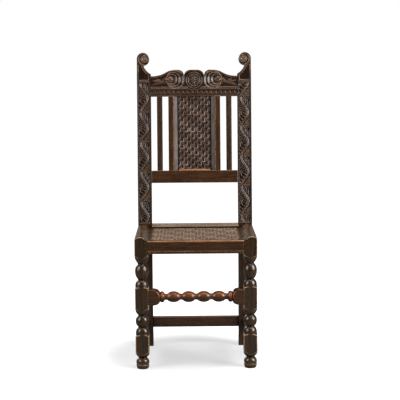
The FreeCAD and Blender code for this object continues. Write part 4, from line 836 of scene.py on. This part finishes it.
# The seat's cane is drawn paler than the back's: partly rubbed by those who sat on it, and partly
# painted light on its upward face.
seat_cane_worn_and_lit = woven_cane("woven split cane of the seat", [(0.16, "#1e130d"), (0.36, "#443327"),
                                                        (0.54, "#685444"), (0.79, "#8e7866")])
panel("woven_seat", low_u=-163.8, high_u=163.8, low_v=-202.3, high_v=88.4, base=482.1, top=486,
      step=1.45, pitch=(13.4, 18.0), finish=seat_cane_worn_and_lit, nodes=["woven_seat_panel"], raked=False)

# Pegs: riven oak pins driven through the tenons and cut off flush. They keep the shapes of
# their solids. End grain under wax looks dark and dull.
peg_oak = waxed_oak("riven oak pegs", "#22140b", "#332012", "#422a19", "#7c5230", "#0f0704",
                    roughness=0.3, marked=False)
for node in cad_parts:
    if node.endswith("_pegs"):
        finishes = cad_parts[node].data.materials
        for number in range(len(finishes)):
            finishes[number] = peg_oak

# Floor: matt white studio paper. It and the world show white to the camera, and the floor keeps
# the chair's shadow. Its glow is also turned down below the chair, within half a metre: a painted
# shadow.
floor_mesh = bpy.data.meshes.new("floor")
floor_mesh.from_pydata([(-30, -30, 0), (30, -30, 0), (30, 30, 0), (-30, 30, 0)], [],
                       [(0, 1, 2, 3)])
floor = bpy.data.objects.new("floor", floor_mesh)
bpy.context.scene.collection.objects.link(floor)
paper = bpy.data.materials.new("white studio paper")
paper.use_nodes = True
tree = paper.node_tree
shader = tree.nodes["Principled BSDF"]
shader.inputs["Base Color"].default_value = linear("#989898")
shader.inputs["Roughness"].default_value = 0.9
shader.inputs["Specular IOR Level"].default_value = 0.0
place = add(tree, "ShaderNodeTexCoord").outputs["Object"]
away = add(tree, "ShaderNodeVectorMath", {"operation": "DISTANCE", 1: (-0.05, 0.02, 0)},
           {0: place}).outputs["Value"]
level = add(tree, "ShaderNodeMapRange", {"interpolation_type": "SMOOTHSTEP", "From Min": 0.22,
                                         "From Max": 0.46, "To Min": 0.46, "To Max": 1.0},
            {"Value": away}).outputs[0]
glow_with_painted_shadow = add(tree, "ShaderNodeEmission", {"Color": (1, 1, 1, 1)}, {"Strength": level})
camera_ray = add(tree, "ShaderNodeLightPath").outputs["Is Camera Ray"]
lifted = add(tree, "ShaderNodeAddShader", links={0: shader.outputs[0], 1: glow_with_painted_shadow.outputs[0]})
dim = add(tree, "ShaderNodeBsdfDiffuse", {"Color": linear("#757575")})
both = add(tree, "ShaderNodeMixShader", links={0: camera_ray, 1: dim.outputs[0],
                                               2: lifted.outputs[0]})
tree.links.new(both.outputs[0], tree.nodes["Material Output"].inputs["Surface"])
floor_mesh.materials.append(paper)

# World: the white room round the chair. The camera sees it white, and it lights the chair
# weakly, more from behind than from in front.
world = bpy.data.worlds.new("white studio")
bpy.context.scene.world = world
world.use_nodes = True
tree = world.node_tree
plain = tree.nodes["Background"]
plain.inputs["Color"].default_value = (1, 1, 1, 1)
way = add(tree, "ShaderNodeTexCoord").outputs["Generated"]
behind = add(tree, "ShaderNodeSeparateXYZ", links={0: way}).outputs["Y"]
level = add(tree, "ShaderNodeMapRange", {"From Min": -0.6, "From Max": 0.8, "To Min": 0.05,
                                         "To Max": 0.2}, {"Value": behind}).outputs[0]
tree.links.new(level, plain.inputs["Strength"])
seen = add(tree, "ShaderNodeBackground", {"Color": (1, 1, 1, 1), "Strength": 1.0})
camera_ray = add(tree, "ShaderNodeLightPath").outputs["Is Camera Ray"]
both = add(tree, "ShaderNodeMixShader", links={0: camera_ray, 1: plain.outputs[0],
                                               2: seen.outputs[0]})
tree.links.new(both.outputs[0], tree.nodes["World Output"].inputs["Surface"])


# Lamps: four large soft ones, at both sides in front, the stronger on the right, one above,
# and one behind on the left.
def softbox(name, place, target, width, height, power):
    """A rectangular lamp at place, turned towards target, in metres and watts."""
    lamp = bpy.data.lights.new(name, "AREA")
    lamp.shape, lamp.size, lamp.size_y, lamp.energy = "RECTANGLE", width, height, power
    holder = bpy.data.objects.new(name, lamp)
    bpy.context.scene.collection.objects.link(holder)
    way = np.array(target, float) - np.array(place, float)
    far = np.linalg.norm(way)
    pitch, yaw = math.acos(-way[2] / far), math.atan2(way[1], way[0]) - math.pi / 2
    holder.location, holder.rotation_euler = place, (pitch, 0, yaw)


softbox("softbox_left", (-2.15, -1.25, 1.5), (0, 0, 0.55), width=1.5, height=1.8, power=58)
softbox("softbox_right", (2.15, -1.25, 1.5), (0, 0, 0.55), width=1.5, height=1.8, power=120)
softbox("softbox_above", (0.35, -0.2, 2.9), (0, 0, 0.5), width=2.4, height=2.2, power=72)
softbox("softbox_back", (-1.9, 2.3, 1.7), (0, 0, 0.6), width=1.5, height=1.8, power=46)

# Camera: in front of the chair, as high as the crest and tilted down. Its place in metres, its
# turn in degrees and its lens were fitted to the edges of the legs, the seat and the back.
CAMERA_X, CAMERA_Y, CAMERA_Z = -0.0214, -4.42, 1.140
YAW, TILT, ROLL = -0.52, -6.84, -0.42
FOCAL_PIXELS, FRAME_PIXELS, SENSOR = 1150.0, 400.0, 36.0
lens = bpy.data.cameras.new("camera")
lens.sensor_width = SENSOR
lens.lens = FOCAL_PIXELS / FRAME_PIXELS * SENSOR
camera = bpy.data.objects.new("camera", lens)
bpy.context.scene.collection.objects.link(camera)
camera.matrix_world = (Matrix.Translation((CAMERA_X, CAMERA_Y, CAMERA_Z))
                       @ Matrix.Rotation(math.radians(YAW), 4, "Z")
                       @ Matrix.Rotation(math.radians(90 + TILT), 4, "X")
                       @ Matrix.Rotation(math.radians(ROLL), 4, "Z"))
bpy.context.scene.camera = camera
bpy.context.scene.view_settings.view_transform = "Standard"
